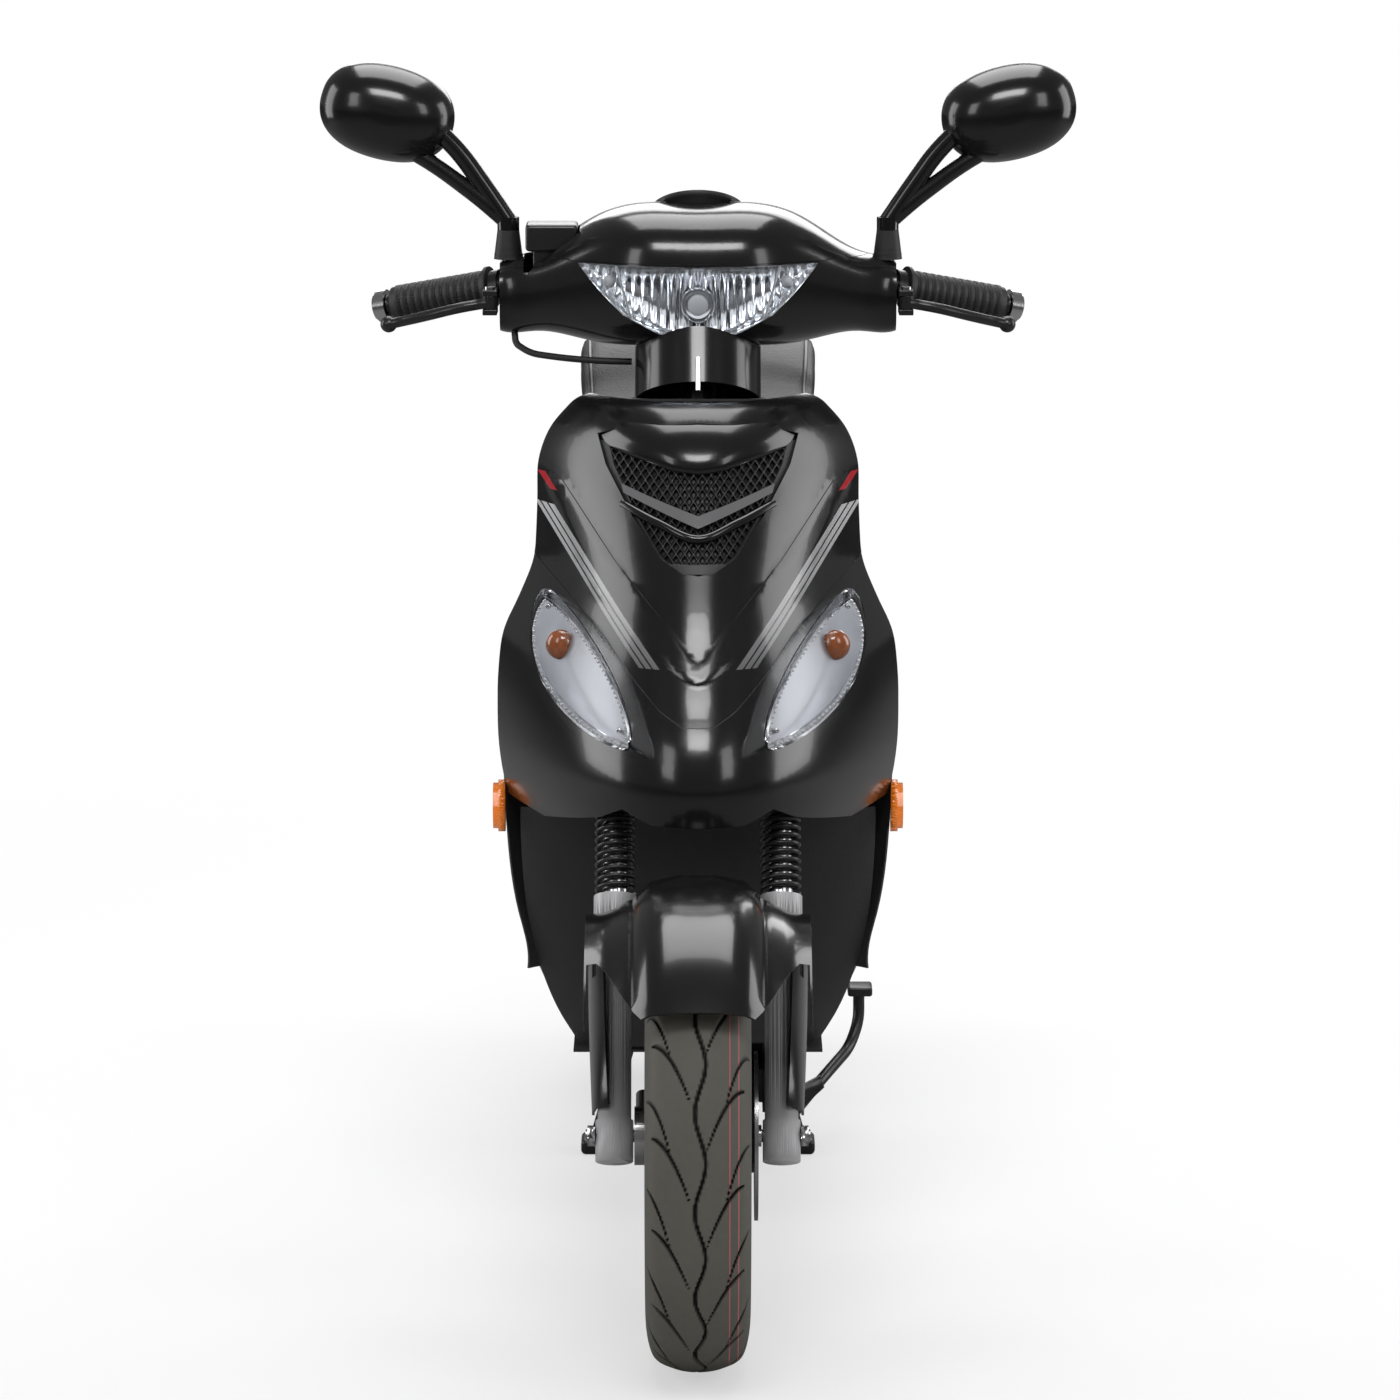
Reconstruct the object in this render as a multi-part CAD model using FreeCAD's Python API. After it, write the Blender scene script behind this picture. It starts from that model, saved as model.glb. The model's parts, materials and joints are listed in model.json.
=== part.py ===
"""Moped scooter, built as an assembly of separate pieces.

Every piece is drawn in millimetres from the middle of the front axle: x to the rider's left,
y backwards and z up.  export() then moves it to the part's own frame, which has its origin on
the ground under the middle of the scooter.  Heights named H_ are counted from the axle.
"""
import FreeCAD, Part
import math
import os

V = FreeCAD.Vector

# ---- driving dimensions ---------------------------------------------------------------------
WHEELBASE = 1240.0
FRONT_OVERHANG = 217.0      # front axle to the foremost point
REAR_OVERHANG = 290.0       # rear axle to the rearmost point
TYRE_R = 217.0              # 3.50-10 tyre
TYRE_W = 96.0
BEAD_R = 127.0              # 10 inch rim
RIM_W = 57.0
RAKE = math.radians(26.0)
FORK_OFFSET = 35.0          # steering axis behind the fork legs
LEG_X = 77.0                # half the spacing of the fork legs
STANCHION_R = 11.5
SLIDER_R = 15.5
FORK_TRAVEL = 35.0
RUN_FIT = 0.05              # radial play of a running fit
CLEAR = 0.4                 # gap between separate covers
PLAY = 3.0                  # gap beside a part that moves past another
WALL = 2.5                  # wall of the moulded covers
AXLE_R = 6.0
STAND_LIFT = 15.0           # height of the rear tyre above the ground on the centre stand
SWING_TRAVEL = 6.0          # degrees of the power unit's swing

SHIELD_W = 190.0            # half the width of the leg shield
FLOOR_W = 158.0             # half the width of the floorboard
H_FLOOR = 83.0              # top of the floorboard
BAR_R = 11.0
HEADSET_W = 190.0           # half the width of the handlebar cover
GRIP_R = 16.5
GRIP_L = 112.0
SEAT_W = 128.0              # half the width of the seat
SEAT_L = 645.0
H_SEAT = 525.0              # underside of the cushion
RAIL_R = 13.0
RACK_HOLES_X = 80.0
RACK_HOLES_Y = 60.0
RACK_HOLE_R = 3.3
PLATE_HOLES = 120.0

REAR_Y = WHEELBASE
REAR_H = STAND_LIFT
CENTRE_Y = (REAR_Y + REAR_OVERHANG - FRONT_OVERHANG) / 2
GROUND = -TYRE_R
PIECES = {}


# ---- helpers --------------------------------------------------------------------------------
def add(name, *shapes):
    """Keeps the solids of the given shapes under a node name."""
    solids = [s for shape in shapes for s in shape.Solids]
    PIECES.setdefault(name, []).extend(solids)


def export():
    """Moves each node to the ground frame and writes its STEP file."""
    os.makedirs("parts", exist_ok=True)
    for name, solids in PIECES.items():
        shape = Part.makeCompound(solids) if len(solids) > 1 else solids[0]
        shape = shape.copy()
        shape.translate(V(0, -CENTRE_Y, TYRE_R))
        shape.exportStep("parts/%s.step" % name)


def mirrored(shape):
    """The same shape on the other side of the scooter."""
    return shape.mirror(V(0, 0, 0), V(1, 0, 0))


def pair(shape):
    return [shape, mirrored(shape)]


def rod(r, a, b):
    """Round bar of radius r from a to b."""
    return Part.makeCylinder(r, (b - a).Length, a, b - a)


def sleeve(r_out, r_in, a, b):
    """Round tube wall from a to b."""
    along = (b - a).normalize()
    return rod(r_out, a, b).cut(rod(r_in, a - along, b + along))


def block(x0, x1, y0, y1, z0, z1):
    return Part.makeBox(x1 - x0, y1 - y0, z1 - z0, V(x0, y0, z0))


def soft_block(x0, x1, y0, y1, z0, z1, r):
    """Box with rounded edges."""
    body = block(x0, x1, y0, y1, z0, z1)
    r = min(r, (x1 - x0) / 2.2, (y1 - y0) / 2.2, (z1 - z0) / 2.2)
    return body.makeFillet(r, body.Edges)


def fused(first, *others):
    return first.multiFuse(list(others)).removeSplitter()


def bent_wire(points, reach=0.45):
    """Straight runs joined by tangent arcs as large as the runs allow."""
    edges = []
    start = points[0]
    for i in range(1, len(points) - 1):
        a, p, b = points[i - 1], points[i], points[i + 1]
        to_a = (a - p).normalize()
        to_b = (b - p).normalize()
        turn = math.pi - to_a.getAngle(to_b)
        if turn < 1e-3:
            continue
        cut = reach * min((a - p).Length, (b - p).Length)
        r = cut / math.tan(turn / 2)
        p0 = p + to_a * cut
        p1 = p + to_b * cut
        middle = p + (to_a + to_b).normalize() * (r / math.cos(turn / 2) - r)
        edges.append(Part.makeLine(start, p0))
        edges.append(Part.Arc(p0, middle, p1).toShape())
        start = p1
    edges.append(Part.makeLine(start, points[-1]))
    return Part.Wire(edges)


def pipe(points, r, reach=0.45):
    """Round bar of radius r that follows the points with rounded bends."""
    path = bent_wire(points, reach)
    circle = Part.Wire(Part.makeCircle(r, points[0], points[1] - points[0]))
    return path.makePipeShell([circle], True, False)


def spring(a, b, mean_r, wire_r, coils):
    """Coil spring from a to b, its end turns clear of both seats by the wire's radius."""
    length = (b - a).Length - 2 * wire_r
    helix = Part.makeHelix(length / coils, length, mean_r)
    circle = Part.Wire(Part.makeCircle(wire_r, V(mean_r, 0, 0), V(0, 1, 0)))
    coil = Part.Wire(helix.Edges).makePipeShell([circle], True, True)
    coil.translate(V(0, 0, wire_r))
    turn = FreeCAD.Rotation(V(0, 0, 1), b - a)
    coil.Placement = FreeCAD.Placement(a, turn).multiply(coil.Placement)
    return coil


def ring_points(half_w, half_h, power=2.5, count=20):
    """Points of a rounded rectangle, as (across, up) pairs."""
    out = []
    for i in range(count):
        t = 2 * math.pi * (i + 0.5) / count
        c, s = math.cos(t), math.sin(t)
        out.append((half_w * math.copysign(abs(c) ** (2 / power), c),
                    half_h * math.copysign(abs(s) ** (2 / power), s)))
    return out


def closed_curve(points):
    curve = Part.BSplineCurve()
    curve.interpolate(points, PeriodicFlag=True)
    return Part.Wire(curve.toShape())


def loft(sections):
    """Solid through closed curves."""
    return Part.makeLoft([closed_curve(s) for s in sections], True, False)


def section_x(x, y0, y1, z0, z1, power=2.5):
    """Rounded section across x, between y0 and y1 and between z0 and z1."""
    yc, zc = (y0 + y1) / 2, (z0 + z1) / 2
    return [V(x, yc + a, zc + b) for a, b in ring_points((y1 - y0) / 2, (z1 - z0) / 2, power)]


def section_y(y, x0, x1, z0, z1, power=2.5):
    xc, zc = (x0 + x1) / 2, (z0 + z1) / 2
    return [V(xc + a, y, zc + b) for a, b in ring_points((x1 - x0) / 2, (z1 - z0) / 2, power)]


def section_z(z, x0, x1, y0, y1, power=2.5):
    xc, yc = (x0 + x1) / 2, (y0 + y1) / 2
    return [V(xc + a, yc + b, z) for a, b in ring_points((x1 - x0) / 2, (y1 - y0) / 2, power)]


def outline_xz(points, y0, y1):
    """Prism along y of a closed straight-sided outline in x and z."""
    wire = Part.makePolygon([V(x, y0, z) for x, z in points + points[:1]])
    return Part.Face(wire).extrude(V(0, y1 - y0, 0))


def outline_yz(points, x0, x1):
    wire = Part.makePolygon([V(x0, y, z) for y, z in points + points[:1]])
    return Part.Face(wire).extrude(V(x1 - x0, 0, 0))


def curved_outline_xz(points, y0, y1):
    """Prism along y of a smooth closed outline in x and z."""
    face = Part.Face(closed_curve([V(x, y0, z) for x, z in points]))
    return face.extrude(V(0, y1 - y0, 0))


def revolved(profile):
    """Solid of a closed (x, radius) profile turned about the x axis."""
    wire = Part.makePolygon([V(x, r, 0) for x, r in profile + profile[:1]])
    return Part.Face(wire).revolve(V(0, 0, 0), V(1, 0, 0), 360)


def blend(stations, t):
    """Smooth value at t through (position, value) stations."""
    if t <= stations[0][0]:
        return stations[0][1]
    if t >= stations[-1][0]:
        return stations[-1][1]
    i = max(k for k in range(len(stations) - 1) if stations[k][0] <= t)
    t0, v0 = stations[i]
    t1, v1 = stations[i + 1]

    def slope(k):
        low = stations[max(k - 1, 0)]
        high = stations[min(k + 1, len(stations) - 1)]
        return (high[1] - low[1]) / (high[0] - low[0])

    h = t1 - t0
    u = (t - t0) / h
    return (v0 * (2 * u ** 3 - 3 * u * u + 1) + v1 * (3 * u * u - 2 * u ** 3)
            + slope(i) * h * (u ** 3 - 2 * u * u + u) + slope(i + 1) * h * (u ** 3 - u * u))


def steps(a, b, count):
    return [a + (b - a) * i / (count - 1) for i in range(count)]


def sheet(grid, wall):
    """Moulded wall: a smooth surface through a grid of points, thickened along its normals."""
    rows, cols = len(grid), len(grid[0])

    def normal(i, j):
        du = grid[min(i + 1, rows - 1)][j] - grid[max(i - 1, 0)][j]
        dv = grid[i][min(j + 1, cols - 1)] - grid[i][max(j - 1, 0)]
        return du.cross(dv).normalize()

    inner = [[grid[i][j] + normal(i, j) * wall for j in range(cols)] for i in range(rows)]
    skins = []
    for points in (grid, inner):
        surface = Part.BSplineSurface()
        surface.interpolate(points)
        skins.append(surface.toShape())
    walls = [Part.makeRuledSurface(a, b) for a, b in zip(skins[0].Edges, skins[1].Edges)]
    shell = Part.Shell(skins + walls)
    shell.sewShape()
    solid = Part.Solid(shell)
    if solid.Volume < 0:
        solid.reverse()
    return solid


# ---- wheels ---------------------------------------------------------------------------------
HUB_R = 24.0
HUB_HALF = 38.0
BEARING_R = 16.0
BEARING_W = 10.0
DISC_R = 78.0
DISC_T = 3.5
DISC_X = 53.5
FLANGE_H = 8.0
RIM_SEAT_R = BEAD_R - 2.0


def tyre():
    """Hollow carcass whose beads sit inside the rim's flanges."""
    bead = RIM_W / 2 - 3.0
    half = TYRE_W / 2
    side = TYRE_R - BEAD_R
    seat = RIM_SEAT_R + 0.3
    outer = [(bead, seat), (bead, seat + FLANGE_H + 3), (half * 0.93, BEAD_R + side * 0.33),
             (half, BEAD_R + side * 0.52), (half * 0.84, BEAD_R + side * 0.84),
             (half * 0.45, TYRE_R - side * 0.035), (0, TYRE_R)]
    inner = [(bead - 8, seat), (bead - 5, seat + FLANGE_H + 3), (half * 0.93 - 7, BEAD_R + side * 0.36),
             (half - 7, BEAD_R + side * 0.52), (half * 0.84 - 6, BEAD_R + side * 0.76),
             (half * 0.45, TYRE_R - side * 0.035 - 9), (0, TYRE_R - 10)]

    def curve(side_points):
        points = [V(x, r, 0) for x, r in side_points]
        points += [V(-p.x, p.y, 0) for p in reversed(points[:-1])]
        spline = Part.BSplineCurve()
        spline.interpolate(points)
        return spline.toShape(), points[0], points[-1]

    out_edge, out_a, out_b = curve(outer)
    in_edge, in_a, in_b = curve(inner)
    wire = Part.Wire([out_edge, Part.makeLine(out_b, in_b), in_edge, Part.makeLine(in_a, out_a)])
    return Part.Face(wire).revolve(V(0, 0, 0), V(1, 0, 0), 360)


def rim(left_hub, right_hub, drum=False):
    """Cast wheel: barrel with flanges, hub and five forked spokes."""
    w = RIM_W / 2
    r = RIM_SEAT_R
    barrel = revolved([(-w, r - 8), (-w, r + FLANGE_H), (-w + 2.7, r + FLANGE_H), (-w + 2.7, r),
                       (-8, r - 1), (-6, r - 9), (6, r - 9), (8, r - 1),
                       (w - 2.7, r), (w - 2.7, r + FLANGE_H), (w, r + FLANGE_H), (w, r - 8),
                       (w - 6, r - 9), (8, r - 15), (-8, r - 15), (-w + 6, r - 9)])
    hub = rod(HUB_R, V(-right_hub, 0, 0), V(left_hub, 0, 0))
    arms = []
    for i in range(5):
        for lean in (-9, 9):
            arm = outline_yz([(-6, HUB_R - 6), (6, HUB_R - 6), (8, r - 12), (-8, r - 12)], -9, 9)
            arm.rotate(V(0, 0, HUB_R), V(1, 0, 0), lean)
            arm.rotate(V(0, 0, 0), V(1, 0, 0), 72 * i)
            arms.append(arm)
    wheel = fused(barrel, hub, *arms)
    if drum:
        pan = revolved([(6, 0), (6, 62), (40, 62), (40, 55), (13, 55), (13, 0)])
        wheel = fused(wheel, pan)
    return wheel


def front_wheel():
    add("front_tyre", tyre())
    left = DISC_X - DISC_T / 2
    wheel = rim(left, HUB_HALF)
    flange = rod(34, V(left - 8, 0, 0), V(left, 0, 0))
    wheel = fused(wheel, flange)
    wheel = wheel.cut(rod(AXLE_R + 1, V(-100, 0, 0), V(100, 0, 0)))
    for a, b in ((-HUB_HALF - 1, -HUB_HALF + BEARING_W), (left - BEARING_W, left + 1)):
        wheel = wheel.cut(rod(BEARING_R, V(a, 0, 0), V(b, 0, 0)))
    add("front_rim", wheel)
    for a in (-HUB_HALF, left - BEARING_W):
        add("front_rim", sleeve(BEARING_R, AXLE_R + RUN_FIT, V(a, 0, 0), V(a + BEARING_W, 0, 0)))
    disc = sleeve(DISC_R, BEARING_R + 3, V(left, 0, 0), V(left + DISC_T, 0, 0))
    holes = []
    for i in range(24):
        t = math.radians(15 * i)
        r = DISC_R - 9 if i % 2 else DISC_R - 19
        c = V(left, r * math.cos(t), r * math.sin(t))
        holes.append(rod(3.0, c - V(2, 0, 0), c + V(DISC_T + 2, 0, 0)))
    for i in range(4):
        t = math.radians(45 + 90 * i)
        c = V(left, 42 * math.cos(t), 42 * math.sin(t))
        holes.append(rod(9.0, c - V(2, 0, 0), c + V(DISC_T + 2, 0, 0)))
    disc = disc.cut(Part.makeCompound(holes))
    add("brake_disc", disc)


# ---- fork -----------------------------------------------------------------------------------
S_SLIDER_FOOT = -24.0
S_COLLAR = 200.0
COLLAR_L = 28.0
COLLAR_R = 20.0
SPRING_R = 17.0
SPRING_WIRE = 2.2
SPRING_COILS = 10.5
SPRING_L = 88.0
CROWN_T = 26.0
STANCHION_OVERLAP = 140.0
S_CROWN = S_COLLAR + COLLAR_L + SPRING_L
GUARD_X = 104.0
FENDER_GAP = 12.0
FENDER_WALL = 2.5
FENDER_HALF = 60.0
GUARD = [                   # height along the leg, front edge, rear edge
    (24, -22, 20), (50, -25, 34), (85, -25, 50), (125, -27, 62), (165, -27, 62), (200, -26, 52), (228, -25, 46),
]


def on_fork(x, n, s):
    """Point x across, n behind the legs' line and s up along it from the axle."""
    return V(x, n * math.cos(RAKE) + s * math.sin(RAKE), s * math.cos(RAKE) - n * math.sin(RAKE))


def fork_prism(points, s0, s1):
    """Prism along the fork of an outline in x and n."""
    wire = Part.makePolygon([on_fork(x, n, s0) for x, n in points + points[:1]])
    return Part.Face(wire).extrude(on_fork(0, 0, s1) - on_fork(0, 0, s0))


def fork_lower():
    bore = STANCHION_R + RUN_FIT + 0.02
    for side in (-1, 1):
        x = side * LEG_X
        body = rod(SLIDER_R, on_fork(x, 0, S_SLIDER_FOOT), on_fork(x, 0, S_COLLAR + COLLAR_L))
        foot = rod(SLIDER_R + 2, on_fork(x, 0, S_SLIDER_FOOT), on_fork(x, 0, 14))
        collar = rod(COLLAR_R, on_fork(x, 0, S_COLLAR), on_fork(x, 0, S_COLLAR + COLLAR_L))
        leg = fused(body, foot, collar)
        if side > 0:
            lug = fork_prism([(x - 14, 4), (x - 4, 4), (x - 4, 44), (x - 14, 44)], 36, 96)
            leg = fused(leg, lug)
        floor = S_COLLAR + COLLAR_L - STANCHION_OVERLAP - FORK_TRAVEL - 8
        leg = leg.cut(rod(bore, on_fork(x, 0, floor), on_fork(x, 0, S_CROWN)))
        leg = leg.cut(rod(AXLE_R + 0.1, V(x - 40, 0, 0), V(x + 40, 0, 0)))
        add("fork_sliders", leg)
    coil_a = S_COLLAR + COLLAR_L
    for side in (-1, 1):
        x = side * LEG_X
        add("fork_springs", spring(on_fork(x, 0, coil_a + 0.3), on_fork(x, 0, S_CROWN - 0.3),
                                   SPRING_R, SPRING_WIRE, SPRING_COILS))
    reach = LEG_X + SLIDER_R + 2
    shaft = rod(AXLE_R, V(-reach - 9, 0, 0), V(reach + 9, 0, 0))
    head = Part.Face(Part.makePolygon([V(reach + 0.3, 10 * math.cos(math.radians(60 * i)),
                                         10 * math.sin(math.radians(60 * i))) for i in range(7)]))
    head = head.extrude(V(7, 0, 0))
    nut = mirrored(head)
    add("front_axle", fused(shaft, head, nut))
    left = DISC_X - DISC_T / 2
    spacer_in = left + 1
    add("front_axle", sleeve(10, AXLE_R + 0.1, V(spacer_in, 0, 0), V(LEG_X - SLIDER_R - 3, 0, 0)))
    drive = sleeve(27, AXLE_R + 0.1, V(-LEG_X + SLIDER_R + 3, 0, 0), V(-HUB_HALF - 1, 0, 0))
    socket = sleeve(7, 3, V(-LEG_X + SLIDER_R + 11, 14, 16), V(-LEG_X + SLIDER_R + 11, 38, 30))
    drive = fused(drive, socket).cut(rod(AXLE_R + 0.1, V(-100, 0, 0), V(0, 0, 0)))
    add("front_axle", drive)


def caliper():
    """Two-pot caliper with pads, straddling the rear of the disc."""
    left = DISC_X - DISC_T / 2
    a = math.radians(40)
    c = V(0, 62 * math.cos(a), 62 * math.sin(a))
    body = soft_block(left - 9, left + 14, c.y - 14, c.y + 40, c.z - 26, c.z + 30, 4)
    slot = block(left - 1.5 - PLAY, left + DISC_T + 1.5 + PLAY, c.y - 40, c.y + 32, c.z - 50, c.z + 50)
    ear = fork_prism([(LEG_X - 14.4, 3), (LEG_X, 3), (LEG_X, 45), (LEG_X - 14.4, 45)], 35, 97)
    body = body.cut(slot).cut(ear).cut(rod(SLIDER_R + 2.4, on_fork(LEG_X, 0, -40), on_fork(LEG_X, 0, 150)))
    add("brake_caliper", body)
    for x0, x1 in ((left - 4.2, left - 0.5), (left + DISC_T + 0.5, left + DISC_T + 4.2)):
        add("brake_caliper", block(x0, x1, c.y - 12, c.y + 12, c.z - 15, c.z + 15))


def front_fender():
    """Mudguard over the tyre, with shoulders that carry a guard outside each fork leg."""
    r = TYRE_R + FENDER_GAP
    half = FENDER_HALF
    drop = 34.0
    w = FENDER_WALL
    profile = [(-half, r - drop), (-half, r - 10), (-half * 0.72, r + 6), (-half * 0.3, r + 11),
               (half * 0.3, r + 11), (half * 0.72, r + 6), (half, r - 10), (half, r - drop),
               (half - w, r - drop), (half - w, r - 10 - w * 0.4), (half * 0.72 - 1, r + 6 - w),
               (half * 0.3, r + 11 - w), (-half * 0.3, r + 11 - w), (-half * 0.72 + 1, r + 6 - w),
               (-half + w, r - 10 - w * 0.4), (-half + w, r - drop)]
    wire = Part.makePolygon([V(x, 0, q) for x, q in profile + profile[:1]])
    face = Part.Face(wire)
    face.rotate(V(0, 0, 0), V(1, 0, 0), 50)
    guard = face.revolve(V(0, 0, 0), V(1, 0, 0), -115)
    parts = [guard]
    for side in (-1, 1):
        wing = []
        for turn in steps(-24, 50, 9):
            t = math.radians(turn)
            wing.append([V(side * x, -q * math.sin(t), q * math.cos(t)) for x, q in
                         ((half - 1.2, r - 11), (half + 8, r - 14), (half + 18, r - 20), (half + 30, r - 24),
                          (GUARD_X - 0.8, r - 25))])
        blade = []
        for rise, n0, n1 in GUARD:
            row = []
            for t in steps(0, 1, 8):
                lean = 6 * max(0.0, 1 - (rise - 24) / 196) ** 1.6
                row.append(on_fork(side * (GUARD_X - lean - 15 * (1 - t) ** 3), n0 + (n1 - n0) * t, rise))
            blade.append(row)
        blade = sheet(blade, side * w).common(rod(r - 25.5, V(-130, 0, 0), V(130, 0, 0)))
        parts += [sheet(wing, -side * w), max(blade.Solids, key=lambda q: q.Volume)]
    lip = [(0, 137), (32, 139), (46, 143), (58, 150), (68, 160), (80, 173), (92, 181), (101, 180)]
    lip = [(-x, z) for x, z in reversed(lip[1:])] + lip
    below = outline_xz(lip + [(101, 0), (-101, 0)], -400, -78)
    legs = [rod(COLLAR_R + 1, on_fork(s * LEG_X, 0, 150), on_fork(s * LEG_X, 0, 300)) for s in (-1, 1)]
    legs += [rod(SLIDER_R + 1.2, on_fork(s * LEG_X, 0, -40), on_fork(s * LEG_X, 0, 160)) for s in (-1, 1)]
    shape = fused(*[q.cut(below) for q in parts[:1] + parts[1::2]], *parts[2::2]).cut(Part.makeCompound(legs))
    add("front_fender", max(shape.Solids, key=lambda s: s.Volume))


# ---- steering -------------------------------------------------------------------------------
H_BAR = 738.0
BAR_Y = FORK_OFFSET / math.cos(RAKE) + H_BAR * math.tan(RAKE)
S_BAR = (H_BAR + FORK_OFFSET * math.sin(RAKE)) / math.cos(RAKE)
S_HEAD_A = S_CROWN + CROWN_T + 30
HEAD_L = 190.0
HEAD_R = 25.0
STEM_R = 13.0
GRIP_IN = V(HEADSET_W + 3, BAR_Y + 18, H_BAR + 3)
GRIP_DIR = V(110, 38, -23).normalize()


def steering_axis(s):
    return on_fork(0, FORK_OFFSET, s)


def steering():
    stem = rod(STEM_R, steering_axis(S_CROWN + 4), steering_axis(S_BAR - 18))
    plate = fork_prism([(-LEG_X, -15), (LEG_X, -15), (LEG_X, 15), (22, FORK_OFFSET + 20),
                        (-22, FORK_OFFSET + 20), (-LEG_X, 15)], S_CROWN, S_CROWN + CROWN_T)
    clamps = [rod(18, on_fork(s * LEG_X, 0, S_CROWN), on_fork(s * LEG_X, 0, S_CROWN + CROWN_T))
              for s in (-1, 1)]
    saddle = soft_block(-24, 24, BAR_Y - 20, BAR_Y + 20, H_BAR - 22, H_BAR + 2, 3)
    stem = fused(stem, plate, saddle, *clamps)
    for s in (-1, 1):
        stem = stem.cut(rod(STANCHION_R + 0.1, on_fork(s * LEG_X, 0, S_CROWN - 5),
                            on_fork(s * LEG_X, 0, S_CROWN + CROWN_T + 5)))
    stem = stem.cut(rod(BAR_R + 0.1, V(-60, BAR_Y, H_BAR), V(60, BAR_Y, H_BAR)))
    add("steering_stem", stem)
    cap = soft_block(-23, 23, BAR_Y - 18, BAR_Y + 18, H_BAR + 2.3, H_BAR + 18, 3)
    add("steering_stem", cap.cut(rod(BAR_R + 0.1, V(-60, BAR_Y, H_BAR), V(60, BAR_Y, H_BAR))))
    low = S_COLLAR + COLLAR_L - STANCHION_OVERLAP
    for s in (-1, 1):
        add("steering_stem", sleeve(STANCHION_R, STANCHION_R - 2.5, on_fork(s * LEG_X, 0, low),
                                 on_fork(s * LEG_X, 0, S_CROWN + CROWN_T + 4)))
    tip = GRIP_IN + GRIP_DIR * (GRIP_L + 1)
    left = [V(HEADSET_W - 60, BAR_Y + 4, H_BAR + 6), GRIP_IN - GRIP_DIR * 20, tip]
    right = [V(-p.x, p.y, p.z) for p in reversed(left)]
    middle = [V(-45, BAR_Y, H_BAR), V(45, BAR_Y, H_BAR)]
    bar = pipe(right + middle + left, BAR_R, 0.3)
    boss = rod(8.5, V(MIRROR_X, MIRROR_Y, H_BAR + 5), V(MIRROR_X, MIRROR_Y, H_BAR + 26))
    bar = bar.fuse(Part.makeCompound(pair(boss)))
    stud = rod(5 + RUN_FIT, V(MIRROR_X, MIRROR_Y, H_BAR + 19.6), V(MIRROR_X, MIRROR_Y, H_BAR + 40))
    add("handlebar", bar.cut(Part.makeCompound(pair(stud))))


def grips():
    a = GRIP_IN + GRIP_DIR * 5.5
    b = GRIP_IN + GRIP_DIR * (GRIP_L - 5)
    play = BAR_R + RUN_FIT + 0.02
    for name, flip in (("left_grip", False), ("throttle_grip", True)):
        body = sleeve(GRIP_R, play, a, b)
        ribs = [sleeve(GRIP_R + 1.2, GRIP_R - 1, a + GRIP_DIR * (3 + 7.5 * k), a + GRIP_DIR * (7 + 7.5 * k))
                for k in range(13)]
        flange = sleeve(GRIP_R + 4, GRIP_R - 1, a, a + GRIP_DIR * 3)
        grip = fused(body, flange, *ribs)
        add(name, mirrored(grip) if flip else grip)
    weight = fused(rod(GRIP_R - 1, tip_point(2), tip_point(12)), rod(GRIP_R - 4, tip_point(12), tip_point(15)))
    add("handlebar", *pair(weight))


def tip_point(t):
    return GRIP_IN + GRIP_DIR * (GRIP_L + t)


LEVER_X = HEADSET_W + 9
LEVER_Y = BAR_Y - 22
H_LEVER = H_BAR - 8
PIN_R = 3.0


def levers():
    """Perches on the bar, with a lever on an upright pin ahead of each grip."""
    ring = sleeve(BAR_R + 5, BAR_R + 0.1, GRIP_IN + GRIP_DIR * -5, GRIP_IN + GRIP_DIR * 3.4)
    bar_hole = rod(BAR_R + 0.1, GRIP_IN - GRIP_DIR * 30, GRIP_IN + GRIP_DIR * 40)
    for z0, z1 in ((H_LEVER - 12, H_LEVER - 6.5), (H_LEVER + 6.5, H_LEVER + 12)):
        ear = soft_block(LEVER_X - 7, LEVER_X + 7, LEVER_Y - 7, GRIP_IN.y - BAR_R - 1, z0, z1, 1)
        ring = fused(ring, ear)
    spine = block(LEVER_X - 7, LEVER_X + 3, LEVER_Y + 19, GRIP_IN.y - BAR_R - 1, H_LEVER - 12, H_LEVER + 12)
    grip_room = rod(GRIP_R + 4.6, GRIP_IN + GRIP_DIR * 5.1, GRIP_IN + GRIP_DIR * 60)
    ring = fused(ring, spine).cut(bar_hole).cut(grip_room).cut(headset_body(-CLEAR))
    ring = max(ring.cut(PIECES["handlebar"][0]).Solids, key=lambda s: s.Volume)
    pin = V(LEVER_X, LEVER_Y, H_LEVER)
    ring = ring.cut(rod(PIN_R + 0.1, pin - V(0, 0, 15), pin + V(0, 0, 15)))
    add("bar_controls", *pair(ring))
    bolt = fused(rod(PIN_R, pin - V(0, 0, 12.2), pin + V(0, 0, 14)), rod(5, pin + V(0, 0, 12.3), pin + V(0, 0, 15)))
    add("bar_controls", *pair(bolt))
    run = [V(LEVER_X - 2, LEVER_Y, H_LEVER), V(LEVER_X + 30, LEVER_Y - 4, H_LEVER - 5),
           V(LEVER_X + 66, LEVER_Y + 6, H_LEVER - 15), V(LEVER_X + 98, LEVER_Y + 26, H_LEVER - 24)]
    blade = pipe(run, 5.0)
    eye = rod(7, pin - V(0, 0, 6), pin + V(0, 0, 6))
    ball = Part.makeSphere(8, run[-1])
    lever = fused(blade, eye, ball).cut(rod(PIN_R + RUN_FIT, pin - V(0, 0, 20), pin + V(0, 0, 20)))
    add("left_brake_lever", lever)
    add("right_brake_lever", mirrored(lever))


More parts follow.
